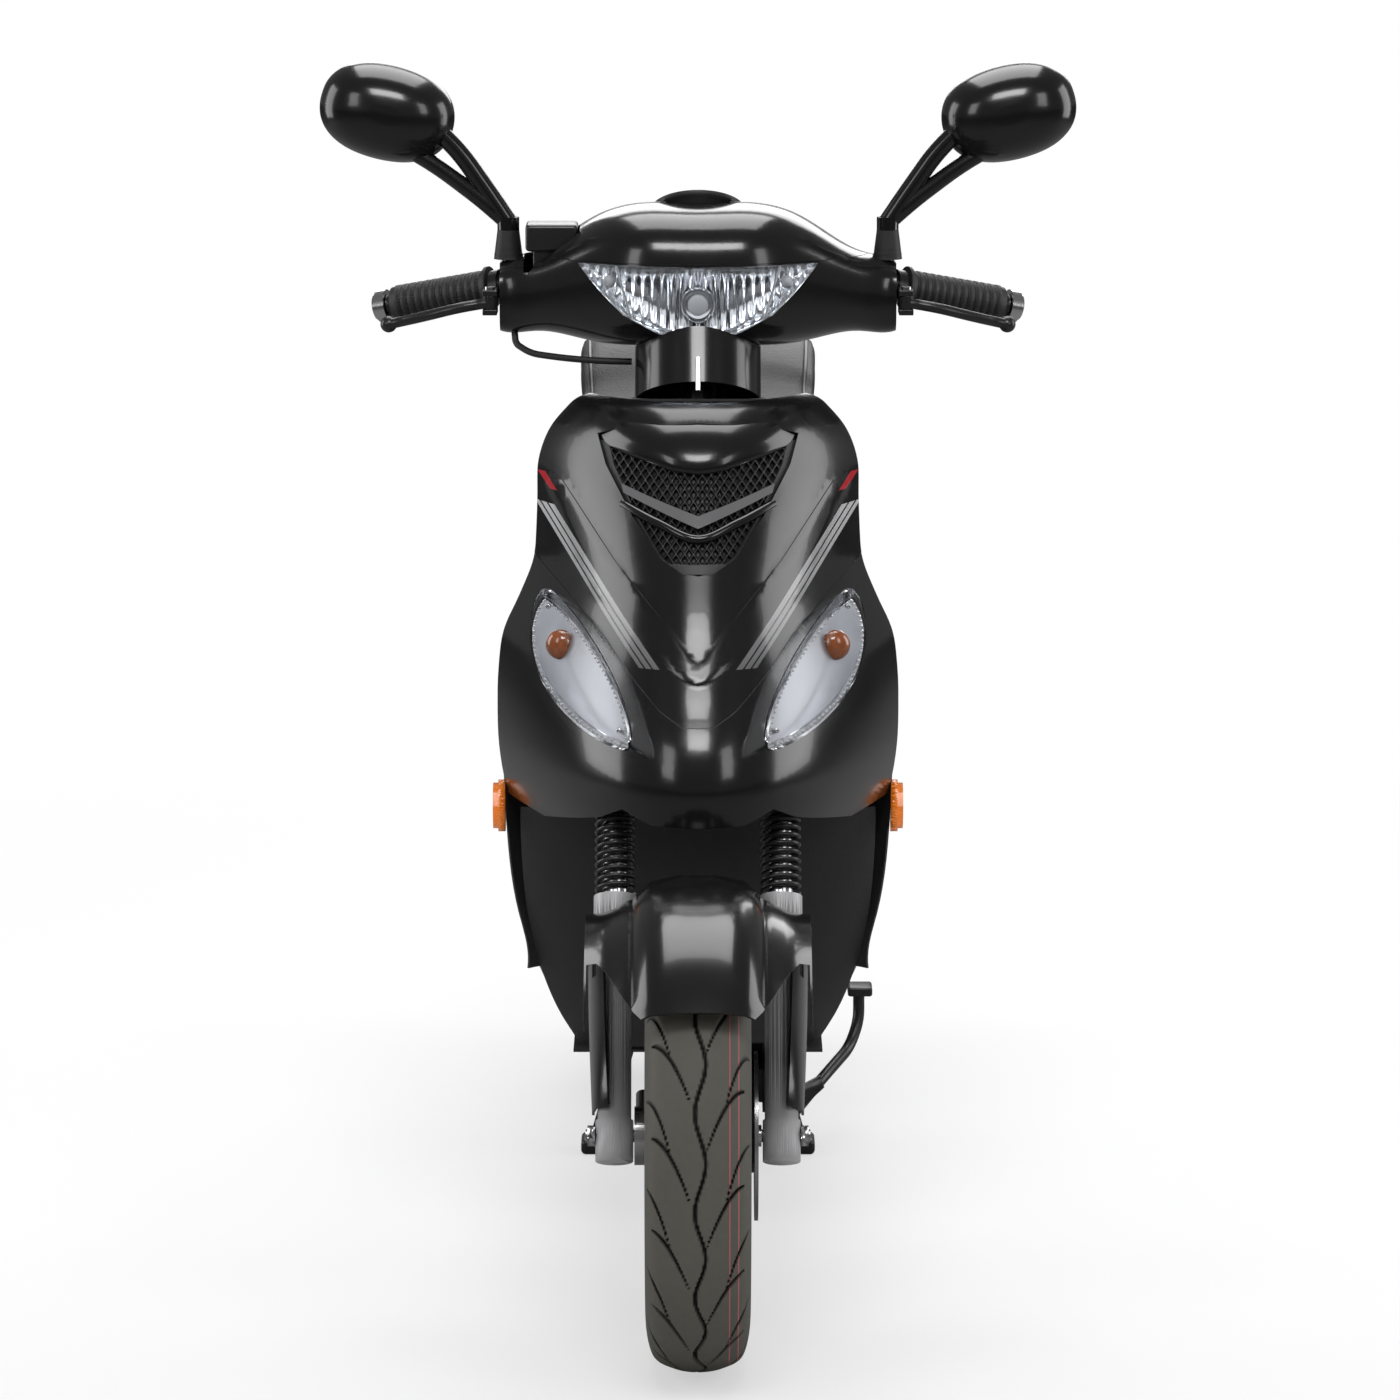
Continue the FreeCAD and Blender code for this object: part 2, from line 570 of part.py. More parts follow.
# ---- handlebar cover ------------------------------------------------------------------------
H_SEAM = 773.0              # seam between the upper and the front cover
HEADSET = [                 # x, front y, rear y, bottom, top
    (0.0, -87.0, 82.0, -50.0, 84.0),
    (0.30, -84.0, 82.0, -50.0, 84.0),
    (0.50, -66.0, 80.0, -48.0, 73.0),
    (0.66, -48.0, 76.0, -42.0, 54.0),
    (0.82, -30.0, 68.0, -39.0, 37.0),
    (1.0, -16.0, 54.0, -39.0, 27.0),
]
SEAM_BACK = 52.0


def headset_body(inset):
    sections = []
    ordered = [(-u, *rest) for u, *rest in reversed(HEADSET[1:])] + [tuple(h) for h in HEADSET]
    for u, y0, y1, z0, z1 in ordered:
        x = u * HEADSET_W
        if abs(u) == 1.0:
            x -= math.copysign(inset, u)
        sections.append(section_x(x, BAR_Y + y0 + inset, BAR_Y + y1 - inset,
                                  H_BAR + z0 + inset, H_BAR + z1 - inset, 2.7))
    return loft(sections)


LAMP = [(0.0, -39.0), (38.0, -33.0), (72.0, -14.0), (96.0, 10.0), (115.0, 33.5), (60.0, 33.0), (0.0, 32.0)]


def lamp_outline(gap, y0, y1):
    """Smile-shaped window of the headlight, drawn in by gap."""
    half = [(x - gap if x > 5 else x, z + gap if z < 20 else z - gap) for x, z in LAMP]
    points = half + [(-x, z) for x, z in reversed(half) if x > 0]
    return outline_xz([(x, H_BAR + z) for x, z in points], y0, y1)


RESERVOIR_X = HEADSET_W - 50


def headset():
    shell = headset_body(0).cut(headset_body(WALL))
    bars = [rod(BAR_R + 2, GRIP_IN - GRIP_DIR * 60, GRIP_IN + GRIP_DIR * 30)]
    bars.append(mirrored(bars[0]))
    neck = rod(NECK_R - WALL - 1, steering_axis(S_NECK), steering_axis(S_BAR - 25))
    master = block(-RESERVOIR_X - 27, -RESERVOIR_X + 27, BAR_Y - 21, BAR_Y + 27, H_BAR + 10, H_BAR + 90)
    shell = shell.cut(Part.makeCompound(bars + [neck, master]))
    front_half = block(-300, 300, BAR_Y - 200, BAR_Y + SEAM_BACK, H_BAR - 200, H_SEAM - CLEAR / 2)
    window = lamp_outline(0, BAR_Y - 200, BAR_Y - 10)
    front = shell.common(front_half).cut(window).cut(Part.makeCompound(PIECES["bar_controls"]))
    keep = block(-300, 300, BAR_Y - 200, BAR_Y + SEAM_BACK + CLEAR, H_BAR - 200, H_SEAM + CLEAR / 2)
    rear = shell.cut(keep)
    neck_skin = sleeve(NECK_R, NECK_R - WALL, steering_axis(S_NECK), steering_axis(S_BAR))
    dial_hole = rod(DIAL_R + CLEAR, DIAL_C - DIAL_AXIS * 80, DIAL_C + DIAL_AXIS * 60)
    rear = rear.cut(dial_hole)
    for name, (x, z, w, h) in BUTTONS.items():
        across = CLEAR + (SWITCH_TRAVEL if name == "turn_switch" else 0)
        up = CLEAR + (SWITCH_TRAVEL if name == "beam_switch" else 0)
        rear = rear.cut(block(x - w / 2 - across, x + w / 2 + across, BAR_Y + 40, BAR_Y + 100,
                              z - h / 2 - CLEAR, z + h / 2 + up))
    studs = rod(5.4, V(MIRROR_X, MIRROR_Y, H_BAR), V(MIRROR_X, MIRROR_Y, H_BAR + 60))
    studs = studs.fuse(rod(14.6, V(MIRROR_X, MIRROR_Y, H_BOOT - 0.4), V(MIRROR_X, MIRROR_Y, H_BAR + 60)))
    boss_room = rod(9.5, V(MIRROR_X, MIRROR_Y, H_BAR), V(MIRROR_X, MIRROR_Y, H_BAR + 26.5))
    front = front.cut(Part.makeCompound(pair(studs) + pair(boss_room)))
    rear = rear.cut(Part.makeCompound(pair(studs) + pair(boss_room)))
    add("headset_front", max(front.Solids, key=lambda s: s.Volume))
    add("headset_rear", max(rear.Solids, key=lambda s: s.Volume))
    neck_skin = neck_skin.cut(headset_body(-2 * CLEAR))
    add("headset_front", min(neck_skin.Solids, key=lambda s: s.CenterOfMass.z))
    lens = headset_body(-0.4).cut(headset_body(2.0)).common(lamp_outline(CLEAR, BAR_Y - 200, BAR_Y - 10))
    add("headlight", max(lens.Solids, key=lambda s: s.Volume))
    bowl = headset_body(WALL + 0.5).common(lamp_outline(0.6, BAR_Y - 200, BAR_Y - 37))
    cavity = Part.makeSphere(1.0)
    stretch = FreeCAD.Matrix()
    stretch.scale(104.0, 44.0, 42.0)
    cavity = cavity.transformGeometry(stretch)
    cavity.translate(V(0, BAR_Y - 88, H_BAR + 2))
    bulb_hole = rod(8, V(0, BAR_Y - 60, H_BAR - 4), V(0, BAR_Y, H_BAR - 4))
    bowl = bowl.cut(cavity).cut(bulb_hole)
    add("headlight", max(bowl.Solids, key=lambda s: s.Volume))
    bulb = fused(rod(7.6, V(0, BAR_Y - 60, H_BAR - 4), V(0, BAR_Y - 34, H_BAR - 4)),
                 Part.makeSphere(8.5, V(0, BAR_Y - 62, H_BAR - 4)))
    add("headlight", bulb)


NECK_R = 60.0
SWITCH_TRAVEL = 3.0
S_NECK = S_BAR - 112.0
DIAL_R = 40.0
DIAL_AXIS = V(0, 0.5, 0.866)
DIAL_C = V(0, BAR_Y + 28, H_BAR + 58)
BUTTONS = {                 # x, z, width, height
    "start_button": (-HEADSET_W + 45, H_BAR - 14, 12.0, 9.0),
    "horn_button": (HEADSET_W - 45, H_BAR - 20, 12.0, 8.0),
    "turn_switch": (HEADSET_W - 45, H_BAR - 6, 10.0, 7.0),
    "beam_switch": (HEADSET_W - 45, H_BAR + 7, 12.0, 7.0),
}


def cockpit():
    body = rod(DIAL_R, DIAL_C - DIAL_AXIS * 14, DIAL_C + DIAL_AXIS * 16)
    hood = sleeve(DIAL_R + 5, DIAL_R - 4, DIAL_C + DIAL_AXIS * 15, DIAL_C + DIAL_AXIS * 20)
    add("speedometer", fused(body, hood.cut(headset_body(-CLEAR / 2))))
    for name, (x, z, w, h) in BUTTONS.items():
        add(name, soft_block(x - w / 2, x + w / 2, BAR_Y + 56, BAR_Y + 78, z - h / 2, z + h / 2, 1.2))
    x = RESERVOIR_X
    tank = soft_block(-x - 25, -x + 25, BAR_Y - 19, BAR_Y + 25, H_BAR + 40, H_BAR + 66, 4)
    foot = soft_block(-x - 18, -x + 18, BAR_Y - 14, BAR_Y + 24, H_BAR - 6, H_BAR + 44, 3)
    p = V(-HEADSET_W + 50, BAR_Y + 6, H_BAR + 6)
    foot = foot.cut(Part.makeCompound([rod(BAR_R + 0.15, p, p + V(-60, 14, -3) * 1.2),
                                       rod(BAR_R + 0.15, p, p + V(95, -6, -6) * 0.9)]))
    add("bar_controls", fused(tank, foot).cut(PIECES["handlebar"][0]))


MIRROR_X = HEADSET_W - 8
MIRROR_Y = BAR_Y + 15
H_BOOT = H_BAR + 30
MIRROR_HEAD = V(298, BAR_Y + 20, H_BAR + 170)


MIRROR_LEAN = 14.0          # tilt of the heads, degrees


def mirrors():
    """Mirror on a forked arm; the arm turns on an upright stud through its rubber boot."""
    stud_low = V(MIRROR_X, MIRROR_Y, H_BAR + 20)
    boot_low = V(MIRROR_X, MIRROR_Y, H_BOOT)
    boot_top = V(MIRROR_X, MIRROR_Y, H_BOOT + 28)
    boot = Part.makeCone(14, 10.5, 28, boot_low, V(0, 0, 1))
    ribs = [rod(13.6 - 0.8 * k, boot_low + V(0, 0, 3 + 5 * k), boot_low + V(0, 0, 5.5 + 5 * k)) for k in range(5)]
    boot = fused(boot, *ribs).cut(rod(5.3, stud_low, boot_top + V(0, 0, 5)))
    c = MIRROR_HEAD
    sections = [(-36, 16, 9), (-32, 34, 22), (-22, 52, 35), (-8, 62, 43), (8, 65, 46), (14, 64, 45)]
    head = loft([section_y(c.y + dy, c.x - a, c.x + a, c.z - b, c.z + b, 2.3) for dy, a, b in sections])
    head.rotate(c, V(0, 1, 0), -MIRROR_LEAN)
    pocket = loft([section_y(c.y + dy, c.x - a, c.x + a, c.z - b, c.z + b, 2.3)
                   for dy, a, b in ((10.6, 60.4, 41.4), (16, 60.4, 41.4))])
    pocket.rotate(c, V(0, 1, 0), -MIRROR_LEAN)
    glass = loft([section_y(c.y + dy, c.x - a, c.x + a, c.z - b, c.z + b, 2.3)
                  for dy, a, b in ((10.8, 60, 41), (13.4, 60, 41))])
    glass.rotate(c, V(0, 1, 0), -MIRROR_LEAN)
    base = boot_top + V(0, 0, 0.3)
    prong_a = pipe([base + V(0, 0, 7), base + V(14, 0, 28), base + V(46, 1, 74), V(c.x - 44, c.y - 4, c.z - 12)], 9)
    prong_b = pipe([base + V(1, 0, 7), base + V(26, 0, 29), base + V(67, 1, 60), V(c.x - 16, c.y - 4, c.z - 32)], 8)
    root = rod(10.5, base, base + V(0, 0, 12))
    stud = rod(5.0, stud_low, base + V(0, 0, 8))
    arm = fused(head.cut(pocket), prong_a, prong_b, root, stud)
    for shape in (arm, glass, boot):
        add("left_mirror", shape)
        add("right_mirror", mirrored(shape))


# ---- leg shield -----------------------------------------------------------------------------
SIDE_Y = 335.0              # where the front cover meets the inner leg shield
H_CHIN = 261.0
H_TOP = 649.0
SHIELD_HALF = [(H_CHIN, 0.947), (283, 0.974), (313, 0.995), (348, 1.0), (381, 0.995), (419, 0.968),
               (455, 0.884), (489, 0.816), (523, 0.8), (553, 0.795), (583, 0.79), (612, 0.737),
               (636, 0.632), (H_TOP, 0.5)]
SHIELD_NOSE = [(H_CHIN, 56), (283, 45), (313, 40), (348, 50), (383, 71), (423, 96), (463, 120),
               (503, 145), (548, 173), (593, 203), (631, 232), (H_TOP, 262)]
SEAM = [(0, 370), (15, 371), (35, 384), (57, 406), (86, 440), (121, 470), (156, 494), (230, 540)]
BUMPER_EDGE = [(0, 279), (44, 280), (70, 292), (91, 279), (145, 258), (190, 262), (230, 262)]
GRILLE = [(0, 500), (15, 502), (36, 515), (62, 550), (87, 592), (95, 618), (60, 628), (0, 632)]
BAND = [(0, 407), (12, 411), (46, 437), (100, 481), (146, 570),
        (129, 571), (78, 508), (36, 465), (10, 432), (0, 425)]
POST_X = 138.0              # posts behind the front cover's sides
POST_Y = 352.0              # where they meet the inner leg shield
CHEVRON = [(0, 541), (70, 569), (72, 577), (0, 552)]
SIGNAL_TOP = V(-146, 0, 468)
SIGNAL_TIP = V(-64, 0, 352)
SIGNAL_OUT = 42.0           # bulge of the lens towards the side
SIGNAL_IN = 21.5            # bulge of the lens towards the middle


def signal_outline(gap=0.0, count=14):
    """Almond outline of a turn signal lens, drawn in by gap."""
    along = SIGNAL_TIP - SIGNAL_TOP
    across = V(along.z, 0, -along.x).normalize()
    points = []
    for side, bulge in ((1, SIGNAL_OUT), (-1, SIGNAL_IN)):
        for i in range(count):
            t = (i + 0.5) / count
            t = 0.5 - 0.5 * math.cos(math.pi * t)
            if side < 0:
                t = 1 - t
            swell = math.sin(math.pi * t ** 0.8) ** 0.7 if side > 0 else math.sin(math.pi * t) ** 0.5
            inset = gap / along.Length
            p = SIGNAL_TOP + along * (t * (1 - 2 * inset) + inset) + across * (side * max(bulge * swell - gap, 1.0))
            points.append((p.x, p.z))
    return points


def shield_point(u, h):
    half = blend(SHIELD_HALF, h) * SHIELD_W
    nose = blend(SHIELD_NOSE, h)
    return V(u * half, nose + (SIDE_Y - nose) * abs(u) ** 2.1, h)


def shield_skin(wall, lift=0.0, top=H_TOP - 3.0):
    """Wall of the leg shield's front, lifted outwards by lift."""
    grid = []
    for h in steps(H_CHIN - 4, top, 30):
        row = []
        for u in steps(-1, 1, 27):
            u = math.copysign(abs(u) ** 0.9, u)
            row.append(shield_point(u, h) - V(0, lift, 0))
        grid.append(row)
    return sheet(grid, -wall)


def symmetric(half):
    """Closes an outline that starts and ends on the middle."""
    return half + [(-x, z) for x, z in reversed(half) if x > 0]


def leg_shield():
    skin = shield_skin(WALL)
    above = outline_xz(symmetric([(x, z + CLEAR / 2) for x, z in SEAM] + [(0, 800)]), -50, 500)
    below = outline_xz(symmetric([(x, z - CLEAR / 2) for x, z in SEAM]
                                 + [(x, z) for x, z in reversed(BUMPER_EDGE)]), -50, 500)
    grille_hole = outline_xz(symmetric(GRILLE), -50, 500)
    signals = pair(curved_outline_xz(signal_outline(), -50, 400))
    neck_room = rod(NECK_R + PLAY, steering_axis(S_NECK - 16), steering_axis(S_BAR))
    upper = skin.common(above).cut(grille_hole).cut(Part.makeCompound(signals + [neck_room]))
    lower = skin.common(below).cut(Part.makeCompound(signals))
    band = shield_skin(WALL, 1.6).common(outline_xz(symmetric(BAND), -50, 500))
    upper = fused(max(upper.Solids, key=lambda s: s.Volume), max(band.Solids, key=lambda s: s.Volume))
    head = rod(HEAD_R + CLEAR, steering_axis(S_HEAD_A), steering_axis(S_HEAD_A + HEAD_L))
    post = rod(8, V(0, 240, 430), V(0, -20, 430)).cut(skin).cut(head)
    post = sorted(post.Solids, key=lambda s: s.CenterOfMass.y)[1]
    side_posts = [max(rod(6, V(s * POST_X, POST_Y, 520), V(s * POST_X, 0, 520)).cut(skin).Solids,
                      key=lambda q: q.CenterOfMass.y) for s in (-1, 1)]
    add("front_cover", fused(upper, post, *side_posts))
    add("lower_bumper", max(lower.Solids, key=lambda s: s.Volume))
    inset = 1 - CLEAR / 60
    back = shield_skin(WALL, -6.0)
    insert = back.common(outline_xz(symmetric([(x * inset, 566 + (z - 566) * inset) for x, z in GRILLE]), -50, 500))
    add("grille_insert", max(insert.Solids, key=lambda s: s.Volume))
    chevron = shield_skin(4.0, -1.8).common(outline_xz(symmetric(CHEVRON), -50, 500))
    add("grille_insert", max(chevron.Solids, key=lambda s: s.Volume))
    lens = shield_skin(2.0, 1.0).common(curved_outline_xz(signal_outline(CLEAR), -50, 400))
    
    tray = shield_skin(2.0, -26.0).common(curved_outline_xz(signal_outline(CLEAR + 1.6), -50, 400))
    wall = shield_skin(26.5, -1.5).common(curved_outline_xz(signal_outline(CLEAR), -50, 400))
    wall = wall.cut(curved_outline_xz(signal_outline(CLEAR + 2.0), -60, 420))
    hole = V(-128, 250, 428)
    tray = max(tray.Solids, key=lambda s: s.Volume).fuse(max(wall.Solids, key=lambda s: s.Volume))
    lens = max(lens.Solids, key=lambda s: s.Volume)
    tray = tray.cut(rod(7, hole - V(0, 60, 0), hole + V(0, 60, 0))).cut(lens)
    add("front_signals", *pair(max(tray.Solids, key=lambda s: s.Volume)))
    bulb = fused(rod(6.9, hole - V(0, 14, 0), hole + V(0, 26, 0)), Part.makeSphere(9, hole - V(0, 18, 0)))
    add("front_signals", *pair(lens), *pair(bulb.cut(lens)))
    plate = rod(25, V(SHIELD_W * 0.975, 345, 247), V(SHIELD_W + 2, 345, 247))
    disc = rod(22, V(SHIELD_W + 1, 345, 247), V(SHIELD_W + 7, 345, 247))
    add("side_reflectors", *pair(fused(plate, disc)))


INNER = [                   # height, middle y, side y, half width
    (86, 388, 350, 0.86), (140, 382, 344, 0.90), (213, 383, SIDE_Y + 3, 0.955),
    (303, 390, SIDE_Y + 3, 0.98), (383, 398, SIDE_Y + 3, 0.99), (443, 406, SIDE_Y + 3, 0.91),
    (493, 412, SIDE_Y + 3, 0.80), (543, 416, SIDE_Y + 4, 0.785), (583, 416, 340, 0.76),
    (608, 410, 342, 0.68), (622, 398, 340, 0.62), (632, 378, 332, 0.58), (638, 352, 322, 0.55),
    (642, 322, 310, 0.53), (645, 292, 298, 0.515),
]


def inner_shield():
    grid = []
    for h, middle, side, half in INNER:
        grid.append([V(u * half * SHIELD_W, middle - (middle - side) * abs(u) ** 5, h)
                     for u in steps(-1, 1, 21)])
    skin = sheet(grid, WALL)
    neck_room = rod(NECK_R + PLAY, steering_axis(S_NECK - 16), steering_axis(S_BAR))
    front_room = shield_skin(WALL + 1.6, 0.8)
    lock_c = V(78, 412, 560)
    neighbours = PIECES["front_cover"] + PIECES["side_reflectors"]
    skin = skin.cut(neck_room).cut(front_room).cut(Part.makeCompound(neighbours)).cut(rod(13.4, lock_c - V(0, 60, 0), lock_c + V(0, 40, 0)))
    hook = rod(4, V(0, 405, 520), V(0, 430, 520)).fuse(rod(4, V(0, 430, 516.5), V(0, 430, 540)))
    skin = max(skin.Solids, key=lambda s: s.Volume).fuse(hook)
    add("inner_leg_shield", max(skin.Solids, key=lambda s: s.Volume))
    barrel = rod(13, lock_c - V(0, 36, 0), lock_c + V(0, 8, 0)).cut(rod(8 + RUN_FIT, lock_c - V(0, 10, 0), lock_c + V(0, 20, 0)))
    add("electrics", barrel)
    key = fused(rod(8, lock_c - V(0, 9.5, 0), lock_c + V(0, 8.5, 0)),
                block(lock_c.x - 1.2, lock_c.x + 1.2, lock_c.y + 8, lock_c.y + 26, lock_c.z - 4, lock_c.z + 4),
                soft_block(lock_c.x - 2.5, lock_c.x + 2.5, lock_c.y + 24, lock_c.y + 50, lock_c.z - 11, lock_c.z + 11, 2))
    add("ignition_key", key)


# ---- frame, floor and lower panels ----------------------------------------------------------
FLOOR_END = REAR_Y - 455.0
RAIL_X = 75.0
TAIL_X = 116.0


FRAME_ROOM = []


def frame():
    """Underbone frame: head tube, down tube, two floor rails that rise to the seat and tail."""
    head = rod(HEAD_R, steering_axis(S_HEAD_A), steering_axis(S_HEAD_A + HEAD_L))
    down = pipe([steering_axis(S_HEAD_A + HEAD_L * 0.55), V(0, 332, 268), V(0, 355, 120), V(0, 363, 84),
                 V(0, 402, 34), V(0, 428, 23)], 19)
    FRAME_ROOM.append(pipe([V(0, 355, 120), V(0, 363, 84), V(0, 402, 34), V(0, 428, 23)], 19 + CLEAR))
    cross = rod(RAIL_R + 4, V(-RAIL_X, 430, 23), V(RAIL_X, 430, 23))
    rails = []
    for s in (-1, 1):
        route = [V(s * RAIL_X, 430, 23), V(s * RAIL_X, 560, 23), V(s * RAIL_X, FLOOR_END - 60, 23),
                 V(s * (RAIL_X + 8), FLOOR_END + 10, 100), V(s * TAIL_X, REAR_Y - 400, 380),
                 V(s * TAIL_X, REAR_Y - 240, 428), V(s * TAIL_X, REAR_Y + 10, 448), V(s * 84, REAR_Y + 165, 470)]
        rails.append(pipe(route, RAIL_R))
        FRAME_ROOM.append(pipe(route, RAIL_R + CLEAR))
        lug = outline_yz([(PIVOT.y - 62, 96), (PIVOT.y - 52, 150), (PIVOT.y, PIVOT.z + 16), (PIVOT.y + 16, PIVOT.z),
                          (PIVOT.y, PIVOT.z - 16)], min(s * (RAIL_X - 8), s * (RAIL_X + 6)), max(s * (RAIL_X - 8), s * (RAIL_X + 6)))
        rails.append(lug)
    tail = rod(10, V(-84, REAR_Y + 160, 469), V(84, REAR_Y + 160, 469))
    seat_bar = rod(SEAT_BAR_R, SEAT_BAR - V(95, 0, 0), SEAT_BAR + V(95, 0, 0))
    shape = head
    for piece in [down, cross] + rails + [tail, seat_bar]:
        shape = shape.fuse(piece)
    shape = shape.cut(rod(HEAD_R - 4, steering_axis(S_HEAD_A - 5), steering_axis(S_HEAD_A + HEAD_L + 5)))
    shape = shape.cut(rod(BOLT_R + 0.1, PIVOT - V(150, 0, 0), PIVOT + V(150, 0, 0)))
    plate = block(SHOCK_X + SHOCK_HALF + 1, TAIL_X - 4, SHOCK_TOP.y - 16, SHOCK_TOP.y + 16, SHOCK_TOP.z - 14, 440)
    shape = shape.fuse(plate)
    shape = shape.cut(rod(BOLT_R + 0.1, SHOCK_TOP - V(60, 0, 0), SHOCK_TOP + V(60, 0, 0)))
    add("frame", shape.removeSplitter())
    for s in (S_HEAD_A, S_HEAD_A + HEAD_L - 12):
        add("frame_bolts", sleeve(HEAD_R - 4, STEM_R + RUN_FIT, steering_axis(s), steering_axis(s + 12)))
    bolt = fused(rod(BOLT_R, PIVOT - V(RAIL_X + 8, 0, 0), PIVOT + V(RAIL_X + 8, 0, 0)),
                 rod(10, PIVOT - V(RAIL_X + 12, 0, 0), PIVOT - V(RAIL_X + 6.3, 0, 0)),
                 rod(10, PIVOT + V(RAIL_X + 6.3, 0, 0), PIVOT + V(RAIL_X + 12, 0, 0)))
    add("frame_bolts", bolt)
    top = fused(rod(BOLT_R, SHOCK_TOP - V(SHOCK_HALF + 4, 0, 0), V(TAIL_X - 3, SHOCK_TOP.y, SHOCK_TOP.z)),
                rod(9, SHOCK_TOP - V(SHOCK_HALF + 7, 0, 0), SHOCK_TOP - V(SHOCK_HALF + 1, 0, 0)))
    add("frame_bolts", top)


PIVOT = V(0, REAR_Y - 385, 128)
BOLT_R = 6.0
SHOCK_X = 92.0
SHOCK_HALF = 14.0
SHOCK_TOP = V(SHOCK_X, REAR_Y - 5, 390)
SHOCK_LOW = V(SHOCK_X, REAR_Y + 42, 100)

SKIRT = [                   # y, top height, top x, bottom height, bottom x
    (346, 252, 0.965, 118, 0.83), (392, 190, 0.95, 68, 0.74), (440, 125, 0.91, 24, 0.67),
    (490, H_FLOOR + 3, 0.87, 4, 0.64), (560, H_FLOOR, 0.85, -8, 0.625),
    (FLOOR_END - 60, H_FLOOR, 0.85, -10, 0.64), (FLOOR_END + 15, H_FLOOR + 2, 0.84, 0, 0.68),
]


def lower_panels():
    grid = []
    for y, h1, w1, h0, w0 in SKIRT:
        row = []
        for t in steps(0, 1, 9):
            x = (w0 + (w1 - w0) * t + 0.03 * math.sin(math.pi * t)) * SHIELD_W
            row.append(V(x, y, h0 + (h1 - h0) * t))
        grid.append(row)
    inner = PIECES["inner_leg_shield"][0]
    skirt = max(sheet(grid, -WALL).cut(inner).Solids, key=lambda s: s.Volume)
    add("lower_panels", *pair(skirt))
    well = []
    for h, y, half in ((250, 300, 0.86), (220, 304, 0.86), (180, 312, 0.85), (130, 326, 0.82),
                       (83, 338, 0.76), (30, 374, 0.66), (0, 398, 0.58)):
        half += 0.03
        well.append([V(u * half * SHIELD_W, y + 26 * abs(u) ** 4, h) for u in steps(-1, 1, 15)])
    belly = block(-0.64 * SHIELD_W, 0.64 * SHIELD_W, 402, FLOOR_END - 40, -8, -8 + WALL)
    for panel in (sheet(well, WALL), belly):
        inside = panel.cut(Part.makeCompound(pair(skirt) + [inner]))
        add("lower_panels", max(inside.Solids, key=lambda s: s.Volume))
    floor = soft_block(-FLOOR_W, FLOOR_W, 392, FLOOR_END, H_FLOOR - 6, H_FLOOR, 2)
    ribs = [block(-FLOOR_W + 12, FLOOR_W - 12, y, y + 4, H_FLOOR - 16, H_FLOOR - 5)
            for y in (470, (470 + FLOOR_END - 100) / 2, FLOOR_END - 100)]
    seats = [rod(8, V(s * RAIL_X, y, 23 + RAIL_R - 2), V(s * RAIL_X, y, H_FLOOR - 5)) for s in (-1, 1)
             for y in (500, FLOOR_END - 130)]
    floor = fused(floor, *ribs).fuse(Part.makeCompound([p.cut(rod(RAIL_R + 0.2, V(s * RAIL_X, 440, 23),
                  V(s * RAIL_X, FLOOR_END - 100, 23))) for s in (-1, 1) for p in seats if p.CenterOfMass.x * s > 0]))
    skirts = [q.translated(V(dx, 0, 0)) for dx in (0, -CLEAR) for q in (skirt,)]
    floor = floor.cut(Part.makeCompound(skirts + [mirrored(q) for q in skirts] + FRAME_ROOM))
    add("floorboard", max(floor.Solids, key=lambda s: s.Volume))
    mat = block(-FLOOR_W + 22, FLOOR_W - 22, 412, FLOOR_END - 22, H_FLOOR + 0.2, H_FLOOR + 3)
    grooves = [block(x - 2, x + 2, 425, FLOOR_END - 35, H_FLOOR + 1.6, H_FLOOR + 5) for x in range(-120, 121, 20)]
    add("floorboard", mat.cut(Part.makeCompound(grooves)).cut(Part.makeCompound(FRAME_ROOM)))


# ---- rear body ------------------------------------------------------------------------------
SEAT_Y = FLOOR_END - 20.0
SIDE = [                    # y, top height, top x, middle x, bottom height, bottom x
    (SEAT_Y + 28, 519, 0.90, 1.06, 100, 1.10), (REAR_Y - 360, 520, 0.93, 1.16, 150, 1.17),
    (REAR_Y - 240, 521, 0.95, 1.22, 205, 1.20), (REAR_Y - 100, 524, 0.95, 1.22, 270, 1.18),
    (REAR_Y + 60, 530, 0.92, 1.12, 335, 1.08), (REAR_Y + 160, 540, 0.82, 0.95, 385, 0.90),
    (REAR_Y + 218, 550, 0.67, 0.76, 420, 0.72),
]


